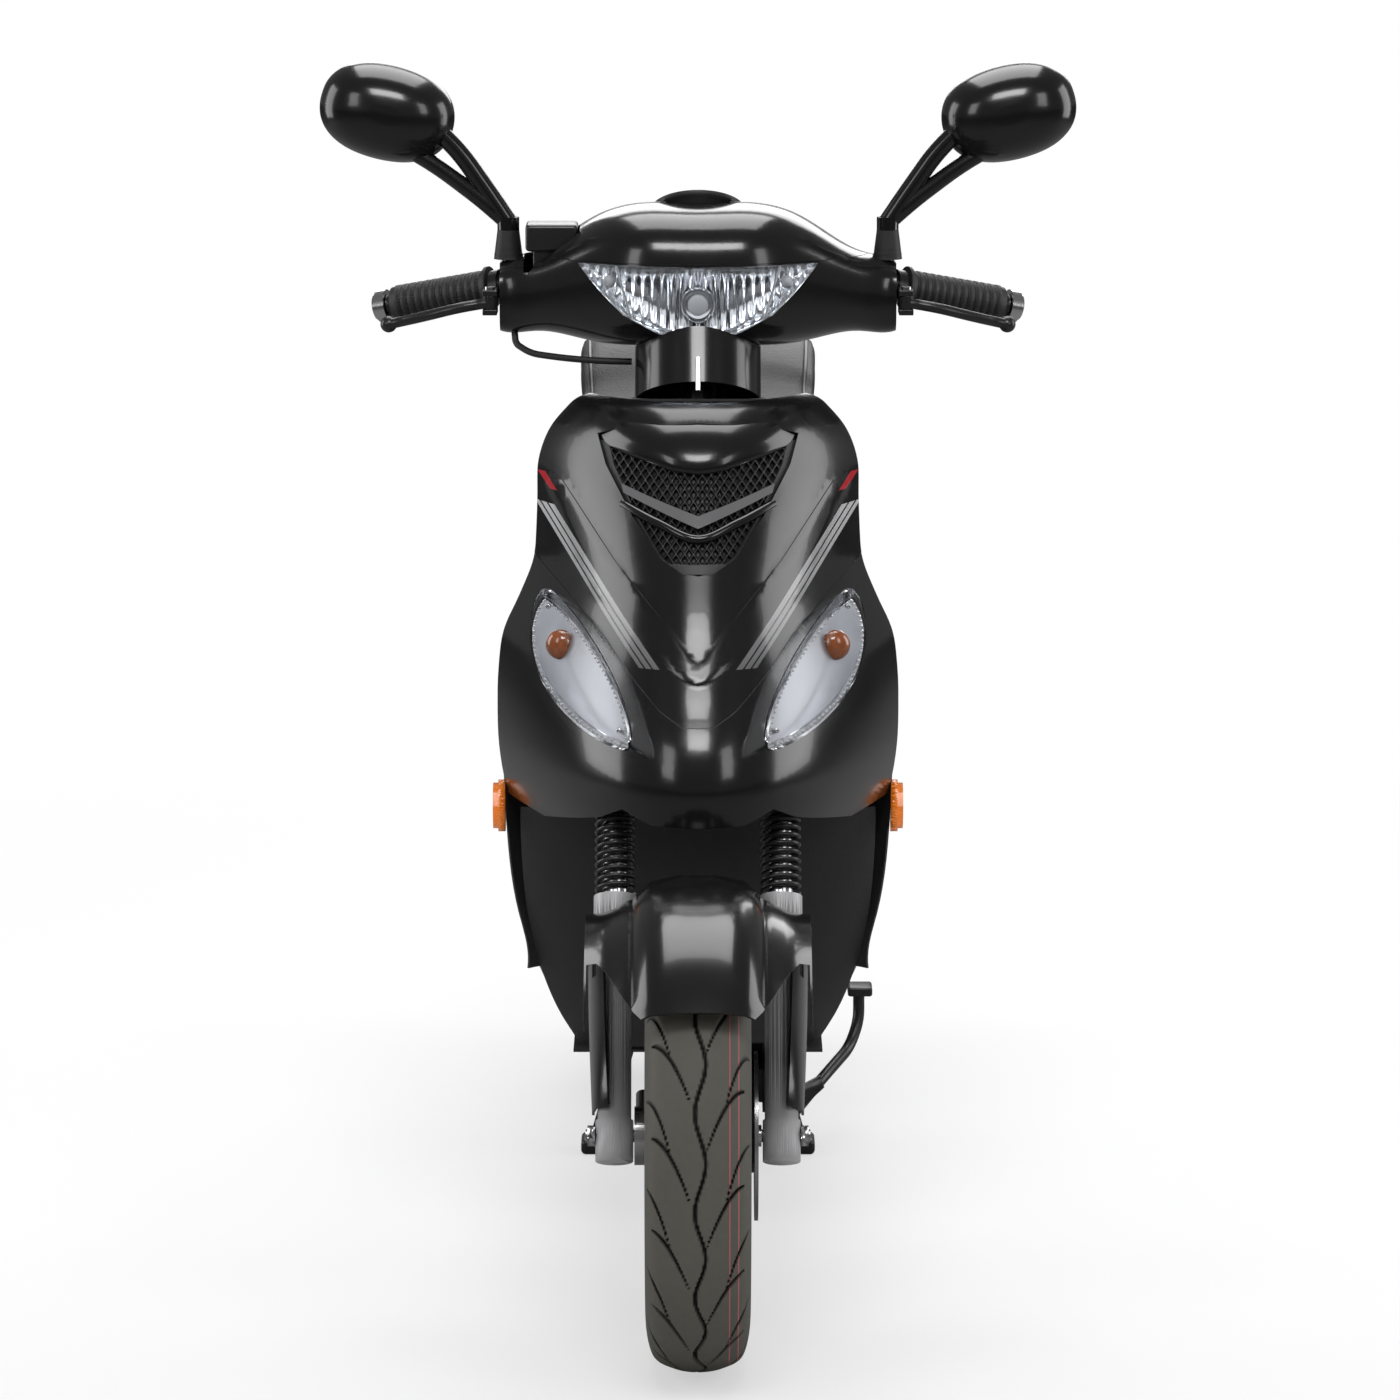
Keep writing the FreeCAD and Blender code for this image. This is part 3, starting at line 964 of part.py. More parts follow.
def rear_body():
    grid = []
    for y, h1, w1, wm, h0, w0 in SIDE:
        row = []
        for t in steps(0, 1, 9):
            w = w0 * (1 - t) ** 2 + 2 * (2 * wm - (w0 + w1) / 2) * t * (1 - t) + w1 * t * t
            row.append(V(w * SEAT_W, y, h0 + (h1 - h0) * t))
        grid.append(row)
    side = sheet(grid, -WALL)
    for y, z in ((REAR_Y - 230, 428), (REAR_Y - 20, 447)):
        boss = rod(7, V(TAIL_X + RAIL_R + 0.5, y, z), V(TAIL_X + 100, y, z)).cut(side)
        side = side.fuse(min(boss.Solids, key=lambda q: q.CenterOfMass.x))
    add("rear_body_panels", *pair(side))
    panel = []
    for h, y, half in ((90, SEAT_Y + 14, 1.08), (180, SEAT_Y + 4, 1.04), (300, SEAT_Y - 6, 1.0),
                       (420, SEAT_Y - 10, 0.94), (516, SEAT_Y - 12, 0.87)):
        panel.append([V(u * half * SEAT_W, y + (SEAT_Y + 26 - y) * abs(u) ** 4, h) for u in steps(-1, 1, 15)])
    panel = sheet(panel, WALL).cut(Part.makeCompound(FRAME_ROOM))
    add("rear_body_panels", max(panel.Solids, key=lambda s: s.Volume))
    x, y0, y1, z0, z1 = 98, SEAT_Y + 42, REAR_Y - 90, 318, 516
    tub = soft_block(-x, x, y0, y1, z0, z1 + 30, 7).common(block(-x, x, y0, y1, z0, z1))
    hollow = soft_block(-x + WALL, x - WALL, y0 + WALL, y1 - WALL, z0 + WALL, z1 + 40, 4.5)
    lip = block(-x - 12, x + 12, y0 - 12, y1 + 12, z1 - WALL, z1)
    bucket = fused(tub, lip).cut(hollow)
    add("storage_bucket", bucket.cut(block(-SEAT_W, SEAT_W, SEAT_Y - 40, SEAT_Y + 30, z1 - 30, z1 + 10))
        .cut(Part.makeCompound(FRAME_ROOM)))
    tank = soft_block(-82, 82, REAR_Y - 68, REAR_Y + 120, 400, 500, 14)
    neck = sleeve(22, 17, V(0, REAR_Y - 20, 492), V(0, REAR_Y - 20, 512))
    bore = rod(17, V(0, REAR_Y - 20, 480), V(0, REAR_Y - 20, 520))
    add("fuel_tank", fused(tank, neck).cut(bore))
    cap = fused(rod(26, V(0, REAR_Y - 20, 512.4), V(0, REAR_Y - 20, 521)),
                rod(16.6, V(0, REAR_Y - 20, 500), V(0, REAR_Y - 20, 513)))
    add("fuel_tank", cap)
    shell = loft([section_y(REAR_Y + 174, -92, 92, 480, 556, 3.5), section_y(REAR_Y + 218, -80, 80, 478, 560, 3.5),
                  section_y(REAR_Y + 244, -74, 74, 478, 552, 3.5)])
    room = block(-120, 120, REAR_Y + 100, REAR_Y + 232, 300, 548)
    room = room.common(loft([section_y(REAR_Y + 100, -100, 100, 400, 549, 3.5), section_y(REAR_Y + 234, -72, 72, 481, 549, 3.5)]))
    legs = pipe(rack_route(), RACK_R + CLEAR)
    shell = shell.cut(room).cut(legs)
    add("rear_body_panels", max(shell.Solids, key=lambda s: s.Volume))
    lens = soft_block(-76, 76, REAR_Y + 232, REAR_Y + 250, 428, 476, 6)
    add("rear_lights", lens)
    add("rear_lights", block(-76, 76, REAR_Y + 196, REAR_Y + 231.7, 426, 476))
    signal = soft_block(98, 150, REAR_Y + 218, REAR_Y + 246, 428, 456, 8)
    signal = signal.fuse(rod(4, V(76.3, REAR_Y + 227, 442), V(100, REAR_Y + 227, 442)))
    add("rear_lights", *pair(signal))
    route = [(REAR_Y + 150, 458.6), (REAR_Y + 166, 458.6), (REAR_Y + 190, 425.6), (REAR_Y + 236, 425.6), (REAR_Y + 262, 380), (REAR_Y + 278, 260), (REAR_Y + 284, 150)]
    outer = route + [(y - 4, z - 3) for y, z in reversed(route)]
    add("rear_mudguard", outline_yz(outer, -70, 70).cut(Part.makeCompound(
        pair(rod(RACK_HOLE_R, V(PLATE_HOLES / 2, REAR_Y + 200, 230), V(PLATE_HOLES / 2, REAR_Y + 330, 230))))))


SEAT_HINGE = V(0, SEAT_Y - 2, H_SEAT - 12)
SEAT_BAR = V(0, REAR_Y - 445, 208)
SEAT_BAR_R = 9.0


def seat():
    y = SEAT_Y
    hinge = SEAT_HINGE
    k = SEAT_W / 128.0
    shape = [(0, 62, 548), (22, 84, 556), (90, 106, 556), (180, 119, 553), (270, 123, 560), (330, 126, 592),
             (400, 128, 612), (500, 124, 616), (590, 108, 612), (632, 88, 598), (SEAT_L, 76, 580)]
    sections = []
    for dy, w, top in shape:
        end = 4 if dy in (0, SEAT_L) else 0
        sections.append(section_y(y + dy * SEAT_L / 645, -w * k, w * k, H_SEAT + 6 + end, top, 3.2))
    add("seat_cushion", loft(sections))
    base = loft([section_z(z, -SEAT_W + g, SEAT_W - g, y + 8 + g, y + SEAT_L - 14 - g, 3.4)
                 for z, g in ((H_SEAT, 10), (H_SEAT + 5.6, 8))])
    ears = [outline_yz([(hinge.y - 4.5, hinge.z - 4.5), (hinge.y + 6, hinge.z - 5), (y + 44, H_SEAT + 2),
                        (y + 12, H_SEAT + 2), (hinge.y - 4.5, hinge.z + 4.5)],
                       min(s * 30, s * 36), max(s * 30, s * 36)) for s in (-1, 1)]
    base = base.common(block(-200, 200, y + 10, y + SEAT_L, H_SEAT - 1, H_SEAT + 10))
    base = fused(base, *ears)
    hook = block(-4, 4, REAR_Y - 76, REAR_Y - 72, H_SEAT - 22, H_SEAT + 1)
    cushion = PIECES["seat_cushion"][0]
    base = fused(base, hook).cut(cushion).cut(cushion.translated(V(0, 0, -0.2))).cut(rod(4 + RUN_FIT, hinge - V(80, 0, 0), hinge + V(80, 0, 0)))
    add("seat_base", base)
    add("frame_bolts", rod(4, hinge - V(46, 0, 0), hinge + V(46, 0, 0)))
    low = hinge.z - 20
    ears = [block(min(s * 37, s * 43), max(s * 37, s * 43), hinge.y - 6, hinge.y + 6, low, hinge.z + 6) for s in (-1, 1)]
    foot = block(-43, 43, hinge.y - 6, SEAT_BAR.y, low - 4, low + 0.1)
    leg = block(-43, 43, SEAT_BAR.y - 5, SEAT_BAR.y, SEAT_BAR.z, low)
    bracket = fused(foot, leg, *ears).cut(rod(4.1, hinge - V(80, 0, 0), hinge + V(80, 0, 0)))
    bracket = bracket.cut(rod(SEAT_BAR_R + 0.2, SEAT_BAR - V(90, 0, 0), SEAT_BAR + V(90, 0, 0)))
    add("frame_bolts", bracket)


RACK_R = 8.0
H_RACK = 572.0
RACK_END = REAR_Y + REAR_OVERHANG - RACK_R


def rack_route():
    half = [V(78, REAR_Y + 160, 474), V(78, REAR_Y + 188, 540), V(86, REAR_Y + 214, H_RACK),
            V(86, RACK_END - 34, H_RACK), V(42, RACK_END, H_RACK)]
    return half + [V(-p.x, p.y, p.z) for p in reversed(half)]


def rack():
    loop = pipe(rack_route(), RACK_R)
    plate = block(-54, 54, RACK_C.y - 46, RACK_C.y + 46, H_RACK + 2, H_RACK + 6)
    bars = [rod(6, V(-86, y, H_RACK), V(86, y, H_RACK)) for y in (RACK_C.y - 40, RACK_C.y + 18)]
    shape = fused(loop, *bars).fuse(plate)
    holes = [rod(RACK_HOLE_R, V(sx * RACK_HOLES_X / 2, RACK_C.y + sy * RACK_HOLES_Y / 2, H_RACK - 20),
                 V(sx * RACK_HOLES_X / 2, RACK_C.y + sy * RACK_HOLES_Y / 2, H_RACK + 40))
             for sx in (-1, 1) for sy in (-1, 1)]
    shape = shape.cut(Part.makeCompound(holes)).cut(PIECES["frame"][0])
    add("rear_rack", max(shape.Solids, key=lambda s: s.Volume))


RACK_C = V(0, RACK_END - 52, H_RACK + 6)


# ---- power unit -----------------------------------------------------------------------------
CRANK = V(0, REAR_Y - 310, REAR_H + 12)
AXLE = V(0, REAR_Y, REAR_H)
CASE_R = 66.0


def slot_plate(r_crank, r_axle, x0, x1):
    """Stadium-shaped slab from the crank to the rear axle."""
    a = rod(r_crank, V(x0, CRANK.y, CRANK.z), V(x1, CRANK.y, CRANK.z))
    b = rod(r_axle, V(x0, AXLE.y, AXLE.z), V(x1, AXLE.y, AXLE.z))
    web = outline_yz([(CRANK.y, CRANK.z - r_crank + 1), (CRANK.y, CRANK.z + r_crank - 1),
                      (AXLE.y, AXLE.z + r_axle - 1), (AXLE.y, AXLE.z - r_axle + 1)], x0, x1)
    return fused(a, b, web)


def power_unit():
    drum = rod(CASE_R, V(-60, CRANK.y, CRANK.z), V(60, CRANK.y, CRANK.z))
    inner = rod(CASE_R - 8, V(-52, CRANK.y, CRANK.z), V(52, CRANK.y, CRANK.z))
    arm = slot_plate(CASE_R, 58, 60, 76)
    boss = rod(22, V(48, AXLE.y, AXLE.z), V(61, AXLE.y, AXLE.z))
    hanger = rod(15, PIVOT - V(RAIL_X - 10, 0, 0), PIVOT + V(RAIL_X - 10, 0, 0))
    strut = outline_yz([(PIVOT.y - 6, PIVOT.z - 6), (PIVOT.y + 13, PIVOT.z + 6), (CRANK.y + 20, CRANK.z + CASE_R - 6),
                        (CRANK.y - 44, CRANK.z + 40)], -40, 40)
    stand_lug = [outline_yz([(CRANK.y - 70, CRANK.z - 30), (CRANK.y, CRANK.z - 50), (STAND.y + 14, STAND.z + 4),
                             (STAND.y, STAND.z - 14), (STAND.y - 16, STAND.z)], a, b) for a, b in ((-58, -46), (46, 58))]
    tab = block(SHOCK_X - 27, SHOCK_X - 17.5, SHOCK_LOW.y - 18, SHOCK_LOW.y + 16, AXLE.z + 20, SHOCK_LOW.z + 14)
    case = drum.fuse(Part.makeCompound([arm, boss, hanger, strut, tab])).fuse(Part.makeCompound(stand_lug))
    case = case.cut(inner)
    case = case.cut(rod(BOLT_R + RUN_FIT, PIVOT - V(90, 0, 0), PIVOT + V(90, 0, 0)))
    case = case.cut(rod(BOLT_R + 0.1, STAND - V(90, 0, 0), STAND + V(90, 0, 0)))
    case = case.cut(rod(12 + RUN_FIT, V(-70, CRANK.y, CRANK.z), V(90, CRANK.y, CRANK.z)))
    case = case.cut(rod(8 + RUN_FIT, V(30, AXLE.y, AXLE.z), V(90, AXLE.y, AXLE.z)))
    case = case.cut(rod(4.2, V(0, SHOCK_LOW.y, SHOCK_LOW.z), V(200, SHOCK_LOW.y, SHOCK_LOW.z)))
    mouth = rod(24, V(0, CRANK.y - CASE_R - 20, CRANK.z + 6), V(0, CRANK.y - CASE_R + 12, CRANK.z + 6))
    case = case.cut(mouth)
    add("crankcase", max(case.Solids, key=lambda s: s.Volume))
    cover = slot_plate(CASE_R, 58, 76.4, 124)
    room = slot_plate(CASE_R - 4, 54, 70, 120)
    cover = cover.makeFillet(5, [e for e in cover.Edges if e.CenterOfMass.x > 123.9])
    cover = cover.cut(room).cut(rod(KICK_R + RUN_FIT, KICK - V(60, 0, 0), KICK + V(30, 0, 0)))
    add("cvt_cover", cover)
    shaft = fused(rod(12, V(-59, CRANK.y, CRANK.z), V(-20, CRANK.y, CRANK.z)), rod(12, V(20, CRANK.y, CRANK.z), V(112, CRANK.y, CRANK.z)))
    cheeks = [rod(44, V(a, CRANK.y, CRANK.z), V(b, CRANK.y, CRANK.z)) for a, b in ((-34, -16), (16, 34))]
    add("crankshaft", *fused(shaft, *cheeks).Solids)
    hole = rod(12, V(0, CRANK.y, CRANK.z), V(150, CRANK.y, CRANK.z))
    sheaves = [Part.makeCone(50, 20, 14, V(82, CRANK.y, CRANK.z), V(1, 0, 0)),
               Part.makeCone(20, 50, 8, V(102, CRANK.y, CRANK.z), V(1, 0, 0))]
    add("crankshaft", *[s.cut(hole) for s in sheaves])
    out = fused(rod(8, V(74.4, AXLE.y, AXLE.z), V(113, AXLE.y, AXLE.z)),
                Part.makeCone(48, 30, 8, V(84, AXLE.y, AXLE.z), V(1, 0, 0)),
                Part.makeCone(30, 48, 8, V(101, AXLE.y, AXLE.z), V(1, 0, 0)),
                rod(28, V(90, AXLE.y, AXLE.z), V(103, AXLE.y, AXLE.z)))
    add("clutch", out)
    outer = slot_plate(30, 44, 94.6, 102.6)
    add("cvt_cover", outer.cut(slot_plate(24, 38, 90, 110)))
    barrel = rod(23.8, V(0, CRANK.y - CASE_R - 62, CRANK.z + 6), V(0, CRANK.y - CASE_R + 10, CRANK.z + 6))
    fins = [soft_block(-44, 44, CRANK.y - CASE_R - 8 - 8 * k - 3, CRANK.y - CASE_R - 8 - 8 * k, CRANK.z - 38, CRANK.z + 50, 1)
            for k in range(7)]
    head = soft_block(-42, 42, CRANK.y - CASE_R - 96, CRANK.y - CASE_R - 60, CRANK.z - 36, CRANK.z + 48, 8)
    cylinder = fused(barrel, head, *fins).cut(rod(20.05, V(0, CRANK.y - CASE_R - 56, CRANK.z + 6), V(0, CRANK.y, CRANK.z + 6)))
    flat = rod(CASE_R + 0.3, V(-60, CRANK.y, CRANK.z), V(60, CRANK.y, CRANK.z))
    throat = rod(23.8, V(0, CRANK.y - CASE_R - 62, CRANK.z + 6), V(0, CRANK.y - CASE_R + 10, CRANK.z + 6))
    port = V(0, CRANK.y - CASE_R - 68, CRANK.z + 48)
    add("cylinder", max(cylinder.cut(flat.cut(throat)).Solids, key=lambda s: s.Volume))
    crown = rod(20, V(0, CRANK.y - CASE_R - 44, CRANK.z + 6), V(0, CRANK.y - CASE_R - 16, CRANK.z + 6))
    rod_big = fused(rod(15, V(-8, CRANK.y - 20, CRANK.z), V(8, CRANK.y - 20, CRANK.z)),
                    rod(9, V(-15.6, CRANK.y - 20, CRANK.z), V(15.6, CRANK.y - 20, CRANK.z)))
    beam = block(-5, 5, CRANK.y - CASE_R - 18, CRANK.y - 33, CRANK.z - 1, CRANK.z + 8)
    add("cylinder", fused(crown, beam, rod_big))
    intake = pipe([port - V(0, 0, 6), port + V(0, 6, 30), port + V(0, 20, 100), port + V(0, 48, 116)], 11)
    c = port + V(0, 48.3, 116)
    carb = fused(rod(17, c, c + V(0, 46, 2)), soft_block(-20, 20, c.y + 10, c.y + 38, c.z - 40, c.z - 6, 4),
                 rod(19, c + V(0, 24, 6), c + V(0, 24, 34)))
    intake = intake.cut(carb).cut(PIECES["cylinder"][0])
    add("intake", max(intake.Solids, key=lambda s: s.Volume))
    add("intake", carb)
    box = soft_block(58, 128, REAR_Y - 215, REAR_Y - 60, 88, 168, 12)
    duct = pipe([c + V(0, 46.6, 2), c + V(0, 66, 0), c + V(40, 108, -14), V(92, REAR_Y - 200, 140)], 15)
    duct = duct.cut(box).cut(carb)
    foot = block(84, 100, REAR_Y - 150, REAR_Y - 130, 60, 90)
    add("intake", fused(box, foot.cut(slot_plate(CASE_R + 0.4, 58.4, 60, 130))))
    add("intake", max(duct.Solids, key=lambda s: s.Volume))


STAND = V(0, REAR_Y - 338, REAR_H - 62)
KICK = V(100, REAR_Y - 180, REAR_H + 8)
KICK_R = 8.0


def power_unit_outside():
    canister = loft([section_y(y, -148 + g, -84 - g, REAR_H - 8 + rise + g, REAR_H + 70 + rise - g, 2.6)
                     for y, g, rise in ((REAR_Y - 190, 12, 0), (REAR_Y - 170, 2, 2), (REAR_Y + 60, 0, 18), (REAR_Y + 110, 6, 22))])
    head_low = V(0, CRANK.y - CASE_R - 78, CRANK.z - 36.4)
    header = pipe([head_low, head_low + V(0, -2, -24), head_low + V(-66, 14, -36), V(-104, CRANK.y + 20, REAR_H - 26),
                   V(-116, REAR_Y - 240, REAR_H + 14), V(-116, REAR_Y - 180, REAR_H + 30)], 11)
    tab = block(-84.5, -58, REAR_Y - 250, REAR_Y - 150, REAR_H + 8, REAR_H + 16)
    mount = block(-86, -60.3, CRANK.y - 30, CRANK.y + 30, CRANK.z + 20, CRANK.z + 26)
    arm = outline_yz([(CRANK.y - 10, CRANK.z + 20), (CRANK.y + 30, CRANK.z + 20), (REAR_Y - 150, REAR_H + 40), (REAR_Y - 150, REAR_H + 58)], -86, -80)
    muffler = fused(canister, header, mount, arm)
    tail = rod(10, V(-116, REAR_Y + 100, REAR_H + 52), V(-116, REAR_Y + 132, REAR_H + 52))
    add("muffler", fused(muffler, tail).cut(PIECES["cylinder"][0]))
    shell = loft([section_y(y, -156, -130, REAR_H + 4 + rise, REAR_H + 74 + rise, 3)
                  for y, rise in ((REAR_Y - 150, 4), (REAR_Y + 40, 18))])
    add("muffler", max(shell.cut(canister.makeOffsetShape(0.4, 0.01)).Solids, key=lambda s: s.Volume))
    knob = KICK + V(30, 0, 0)
    lever = pipe([knob + V(2, 0, 0), knob + V(6, -40, 6), knob + V(6, -110, 22), knob + V(6, -168, 30)], 6.5)
    hub = rod(13, KICK + V(24.6, 0, 0), KICK + V(42, 0, 0))
    shaft = rod(KICK_R, KICK - V(24, 0, 0), KICK + V(30, 0, 0))
    end = rod(9, knob + V(-2, -172, 31), knob + V(14, -172, 31))
    add("kick_lever", fused(lever, hub, shaft, end).cut(rod(4 + RUN_FIT, knob + V(-5, -172, 31), knob + V(11, -172, 31))))
    pin = rod(4, knob + V(-1, -172, 31), knob + V(10.8, -172, 31))
    cap = rod(9, knob + V(14.3, -172, 31), knob + V(20, -172, 31))
    pedal = pipe([knob + V(17, -172, 31), knob + V(17, -150, 31), knob + V(17, -118, 30)], 5)
    add("kick_lever", fused(cap, pedal).cut(PIECES["kick_lever"][0]))


def rear_wheel():
    add("rear_tyre", tyre())
    wheel = rim(36, 40, drum=True)
    wheel = wheel.cut(rod(8 + 0.3, V(-100, 0, 0), V(100, 0, 0)))
    add("rear_rim", wheel)
    shaft = fused(rod(8, V(-58, 0, 0), V(74, 0, 0)), rod(14, V(-50, 0, 0), V(-40.3, 0, 0)))
    add("rear_rim", shaft)
    for name in ("rear_tyre", "rear_rim"):
        for solid in PIECES[name]:
            solid.translate(AXLE)
    shoe = sleeve(53.5, 46, V(20, 0, 0), V(41.2, 0, 0))
    gap = block(0, 60, -70, 70, -6, 6)
    shoes = shoe.cut(gap)
    shoes.translate(AXLE)
    add("cvt_cover", shoes)
    plate = sleeve(54, 18.5, V(41.5, 0, 0), V(45, 0, 0)).fuse(sleeve(24, 18.5, V(44, 0, 0), V(47.6, 0, 0)))
    plate.translate(AXLE)
    add("cvt_cover", plate)


def rear_shock():
    along = (SHOCK_LOW - SHOCK_TOP).normalize()
    eye_top = sleeve(15, BOLT_R + RUN_FIT, SHOCK_TOP - V(SHOCK_HALF - 2, 0, 0), SHOCK_TOP + V(SHOCK_HALF - 2, 0, 0))
    tube = rod(8, SHOCK_TOP + along * 10, SHOCK_TOP + along * 150)
    cap = rod(27, SHOCK_TOP + along * 17, SHOCK_TOP + along * 25)
    upper = fused(tube, cap, eye_top).cut(rod(BOLT_R + RUN_FIT, SHOCK_TOP - V(50, 0, 0), SHOCK_TOP + V(50, 0, 0)))
    add("shock_rod", upper)
    length = (SHOCK_LOW - SHOCK_TOP).Length
    body = rod(17, SHOCK_TOP + along * 140, SHOCK_TOP + along * (length - 10))
    seat = rod(27, SHOCK_TOP + along * 222, SHOCK_TOP + along * 229)
    eye = rod(15, SHOCK_LOW - V(SHOCK_HALF - 2, 0, 0), SHOCK_LOW + V(SHOCK_HALF - 2, 0, 0))
    lower = fused(body, seat, eye).cut(rod(8 + RUN_FIT, SHOCK_TOP + along * 100, SHOCK_TOP + along * 208))
    lower = lower.cut(rod(SHOCK_EYE_R, SHOCK_LOW - V(50, 0, 0), SHOCK_LOW + V(50, 0, 0)))
    add("shock_body", lower)
    add("shock_spring", spring(SHOCK_TOP + along * 25.4, SHOCK_TOP + along * 221.6, 22.5, 3.6, 9))
    bolt = fused(rod(4, SHOCK_LOW - V(27, 0, 0), SHOCK_LOW + V(SHOCK_HALF + 3, 0, 0)),
                 rod(9, SHOCK_LOW + V(SHOCK_HALF + 1, 0, 0), SHOCK_LOW + V(SHOCK_HALF + 5, 0, 0)))
    add("crankcase", bolt)


SHOCK_EYE_R = 6.5


def centre_stand():
    """Two-legged stand on its stop, with the foot lever on the rider's left."""
    foot_y = STAND.y - 18
    legs = []
    for s in (-1, 1):
        route = [V(s * 66, STAND.y, STAND.z), V(s * 70, STAND.y - 4, STAND.z - 40), V(s * 100, foot_y, GROUND + 24)]
        leg = pipe(route, 10)
        pad = soft_block(min(s * 92, s * 122), max(s * 92, s * 122), foot_y - 24, foot_y + 20, GROUND, GROUND + 16, 5)
        web = rod(9, V(s * 102, foot_y, GROUND + 8), V(s * 99, foot_y, GROUND + 30))
        legs += [leg, pad, web]
    tube = rod(13, STAND - V(72, 0, 0), STAND + V(72, 0, 0))
    brace = rod(8, V(-70, STAND.y - 4, STAND.z - 36), V(70, STAND.y - 4, STAND.z - 36))
    tang = pipe([V(96, foot_y + 2, GROUND + 34), V(126, foot_y + 26, GROUND + 66), V(160, STAND.y + 66, GROUND + 92),
                 V(170, STAND.y + 80, GROUND + 118), V(170, STAND.y + 84, GROUND + 146)], 6)
    gusset = outline_xz([(98, GROUND + 34), (98, GROUND + 62), (128, GROUND + 78), (132, GROUND + 66)], foot_y + 4, foot_y + 12)
    pad = soft_block(158, 184, STAND.y + 66, STAND.y + 102, GROUND + 146, GROUND + 156, 3)
    stand = fused(*legs).fuse(Part.makeCompound([tube, brace])).fuse(Part.makeCompound([tang, gusset])).fuse(pad)
    room = [block(a, b, STAND.y - 17, STAND.y + 17, STAND.z - 19, STAND.z + 30) for a, b in ((-59, -45), (45, 59))]
    stand = stand.cut(Part.makeCompound(room)).cut(rod(BOLT_R + RUN_FIT, STAND - V(90, 0, 0), STAND + V(90, 0, 0)))
    add("centre_stand", max(stand.Solids, key=lambda s: s.Volume))
    bolt = fused(rod(BOLT_R, STAND - V(78, 0, 0), STAND + V(78, 0, 0)),
                 rod(9, STAND - V(82, 0, 0), STAND - V(77, 0, 0)), rod(9, STAND + V(77, 0, 0), STAND + V(82, 0, 0)))
    add("crankcase", bolt)


def electrics_and_cables():
    add("electrics", soft_block(-56, 56, FLOOR_END - 200, FLOOR_END - 130, H_FLOOR - 64, H_FLOOR - 6.5, 3)
        .cut(Part.makeCompound(pair(rod(RAIL_R + 2, V(RAIL_X, 430, 23), V(RAIL_X, FLOOR_END, 23))))))
    neck_y = BAR_Y - 64 * math.tan(RAKE)
    route = [V(-176, BAR_Y + 2, H_BAR - 39.6), V(-175, BAR_Y - 3, H_BAR - 50), V(-160, BAR_Y - 15, H_BAR - 58),
             V(-128, BAR_Y - 28, H_BAR - 61), V(-94, BAR_Y - 34, H_BAR - 63), V(-NECK_R - 3.6, neck_y, H_BAR - 64)]
    add("throttle_cable", pipe(route, 3.2))


def main():
    front_wheel()
    fork_lower()
    caliper()
    front_fender()
    steering()
    grips()
    levers()
    headset()
    cockpit()
    mirrors()
    leg_shield()
    inner_shield()
    frame()
    lower_panels()
    rear_body()
    seat()
    rack()
    power_unit()
    power_unit_outside()
    rear_wheel()
    rear_shock()
    centre_stand()
    electrics_and_cables()
    export()


if __name__ == "__main__":
    main()
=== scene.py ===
"""Looks of a step-through moped scooter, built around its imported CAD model.

Lengths are in metres in the model's own frame: +Y towards the tail, +X towards the rider's left, +Z up.
"""

import json
import logging
import math
from dataclasses import dataclass, field
from enum import Enum
from typing import Any, Callable, Iterable, Sequence

import bmesh
import bpy
import numpy as np
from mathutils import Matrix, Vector

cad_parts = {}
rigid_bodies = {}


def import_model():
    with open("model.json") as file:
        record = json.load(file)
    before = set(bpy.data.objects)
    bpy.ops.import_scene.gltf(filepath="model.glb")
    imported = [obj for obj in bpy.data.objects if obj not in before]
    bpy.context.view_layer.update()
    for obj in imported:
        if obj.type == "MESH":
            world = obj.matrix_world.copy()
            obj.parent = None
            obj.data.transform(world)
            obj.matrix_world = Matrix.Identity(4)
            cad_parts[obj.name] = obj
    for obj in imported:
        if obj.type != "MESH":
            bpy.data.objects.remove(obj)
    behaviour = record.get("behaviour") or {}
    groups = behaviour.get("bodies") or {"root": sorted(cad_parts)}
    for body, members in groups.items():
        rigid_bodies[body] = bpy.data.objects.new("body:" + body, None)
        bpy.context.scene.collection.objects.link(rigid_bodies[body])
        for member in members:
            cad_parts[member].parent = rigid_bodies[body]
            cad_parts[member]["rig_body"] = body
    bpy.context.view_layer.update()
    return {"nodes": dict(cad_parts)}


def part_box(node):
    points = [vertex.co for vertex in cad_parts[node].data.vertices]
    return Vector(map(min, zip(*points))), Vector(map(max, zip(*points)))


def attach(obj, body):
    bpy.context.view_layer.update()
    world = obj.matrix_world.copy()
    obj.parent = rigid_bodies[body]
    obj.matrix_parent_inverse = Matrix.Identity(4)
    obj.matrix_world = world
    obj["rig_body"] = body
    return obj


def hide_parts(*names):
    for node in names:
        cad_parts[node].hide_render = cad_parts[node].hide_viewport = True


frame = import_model()

LOG = logging.getLogger("scooter")
MM = 0.001
FORWARD = Vector((0, -1, 0))
SHARP = 40.0                # edges of new pieces sharper than this stay sharp, degrees
SHARP_CAD = 32.0            # the same for copies of the CAD model's nodes
ROUNDED = 0.0008            # rounding of a gloss panel's edges
FRONT_AXLE = (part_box("front_tyre")[0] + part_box("front_tyre")[1]) / 2
REAR_AXLE = (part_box("rear_tyre")[0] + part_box("rear_tyre")[1]) / 2
Array = np.ndarray


def at(x: float, y: float, z: float) -> Vector:
    """Gives a place in metres from millimetres across, behind and above the front axle."""
    return Vector((x * MM, FRONT_AXLE.y + y * MM, FRONT_AXLE.z + z * MM))


# ---- shader expressions ---------------------------------------------------------------------


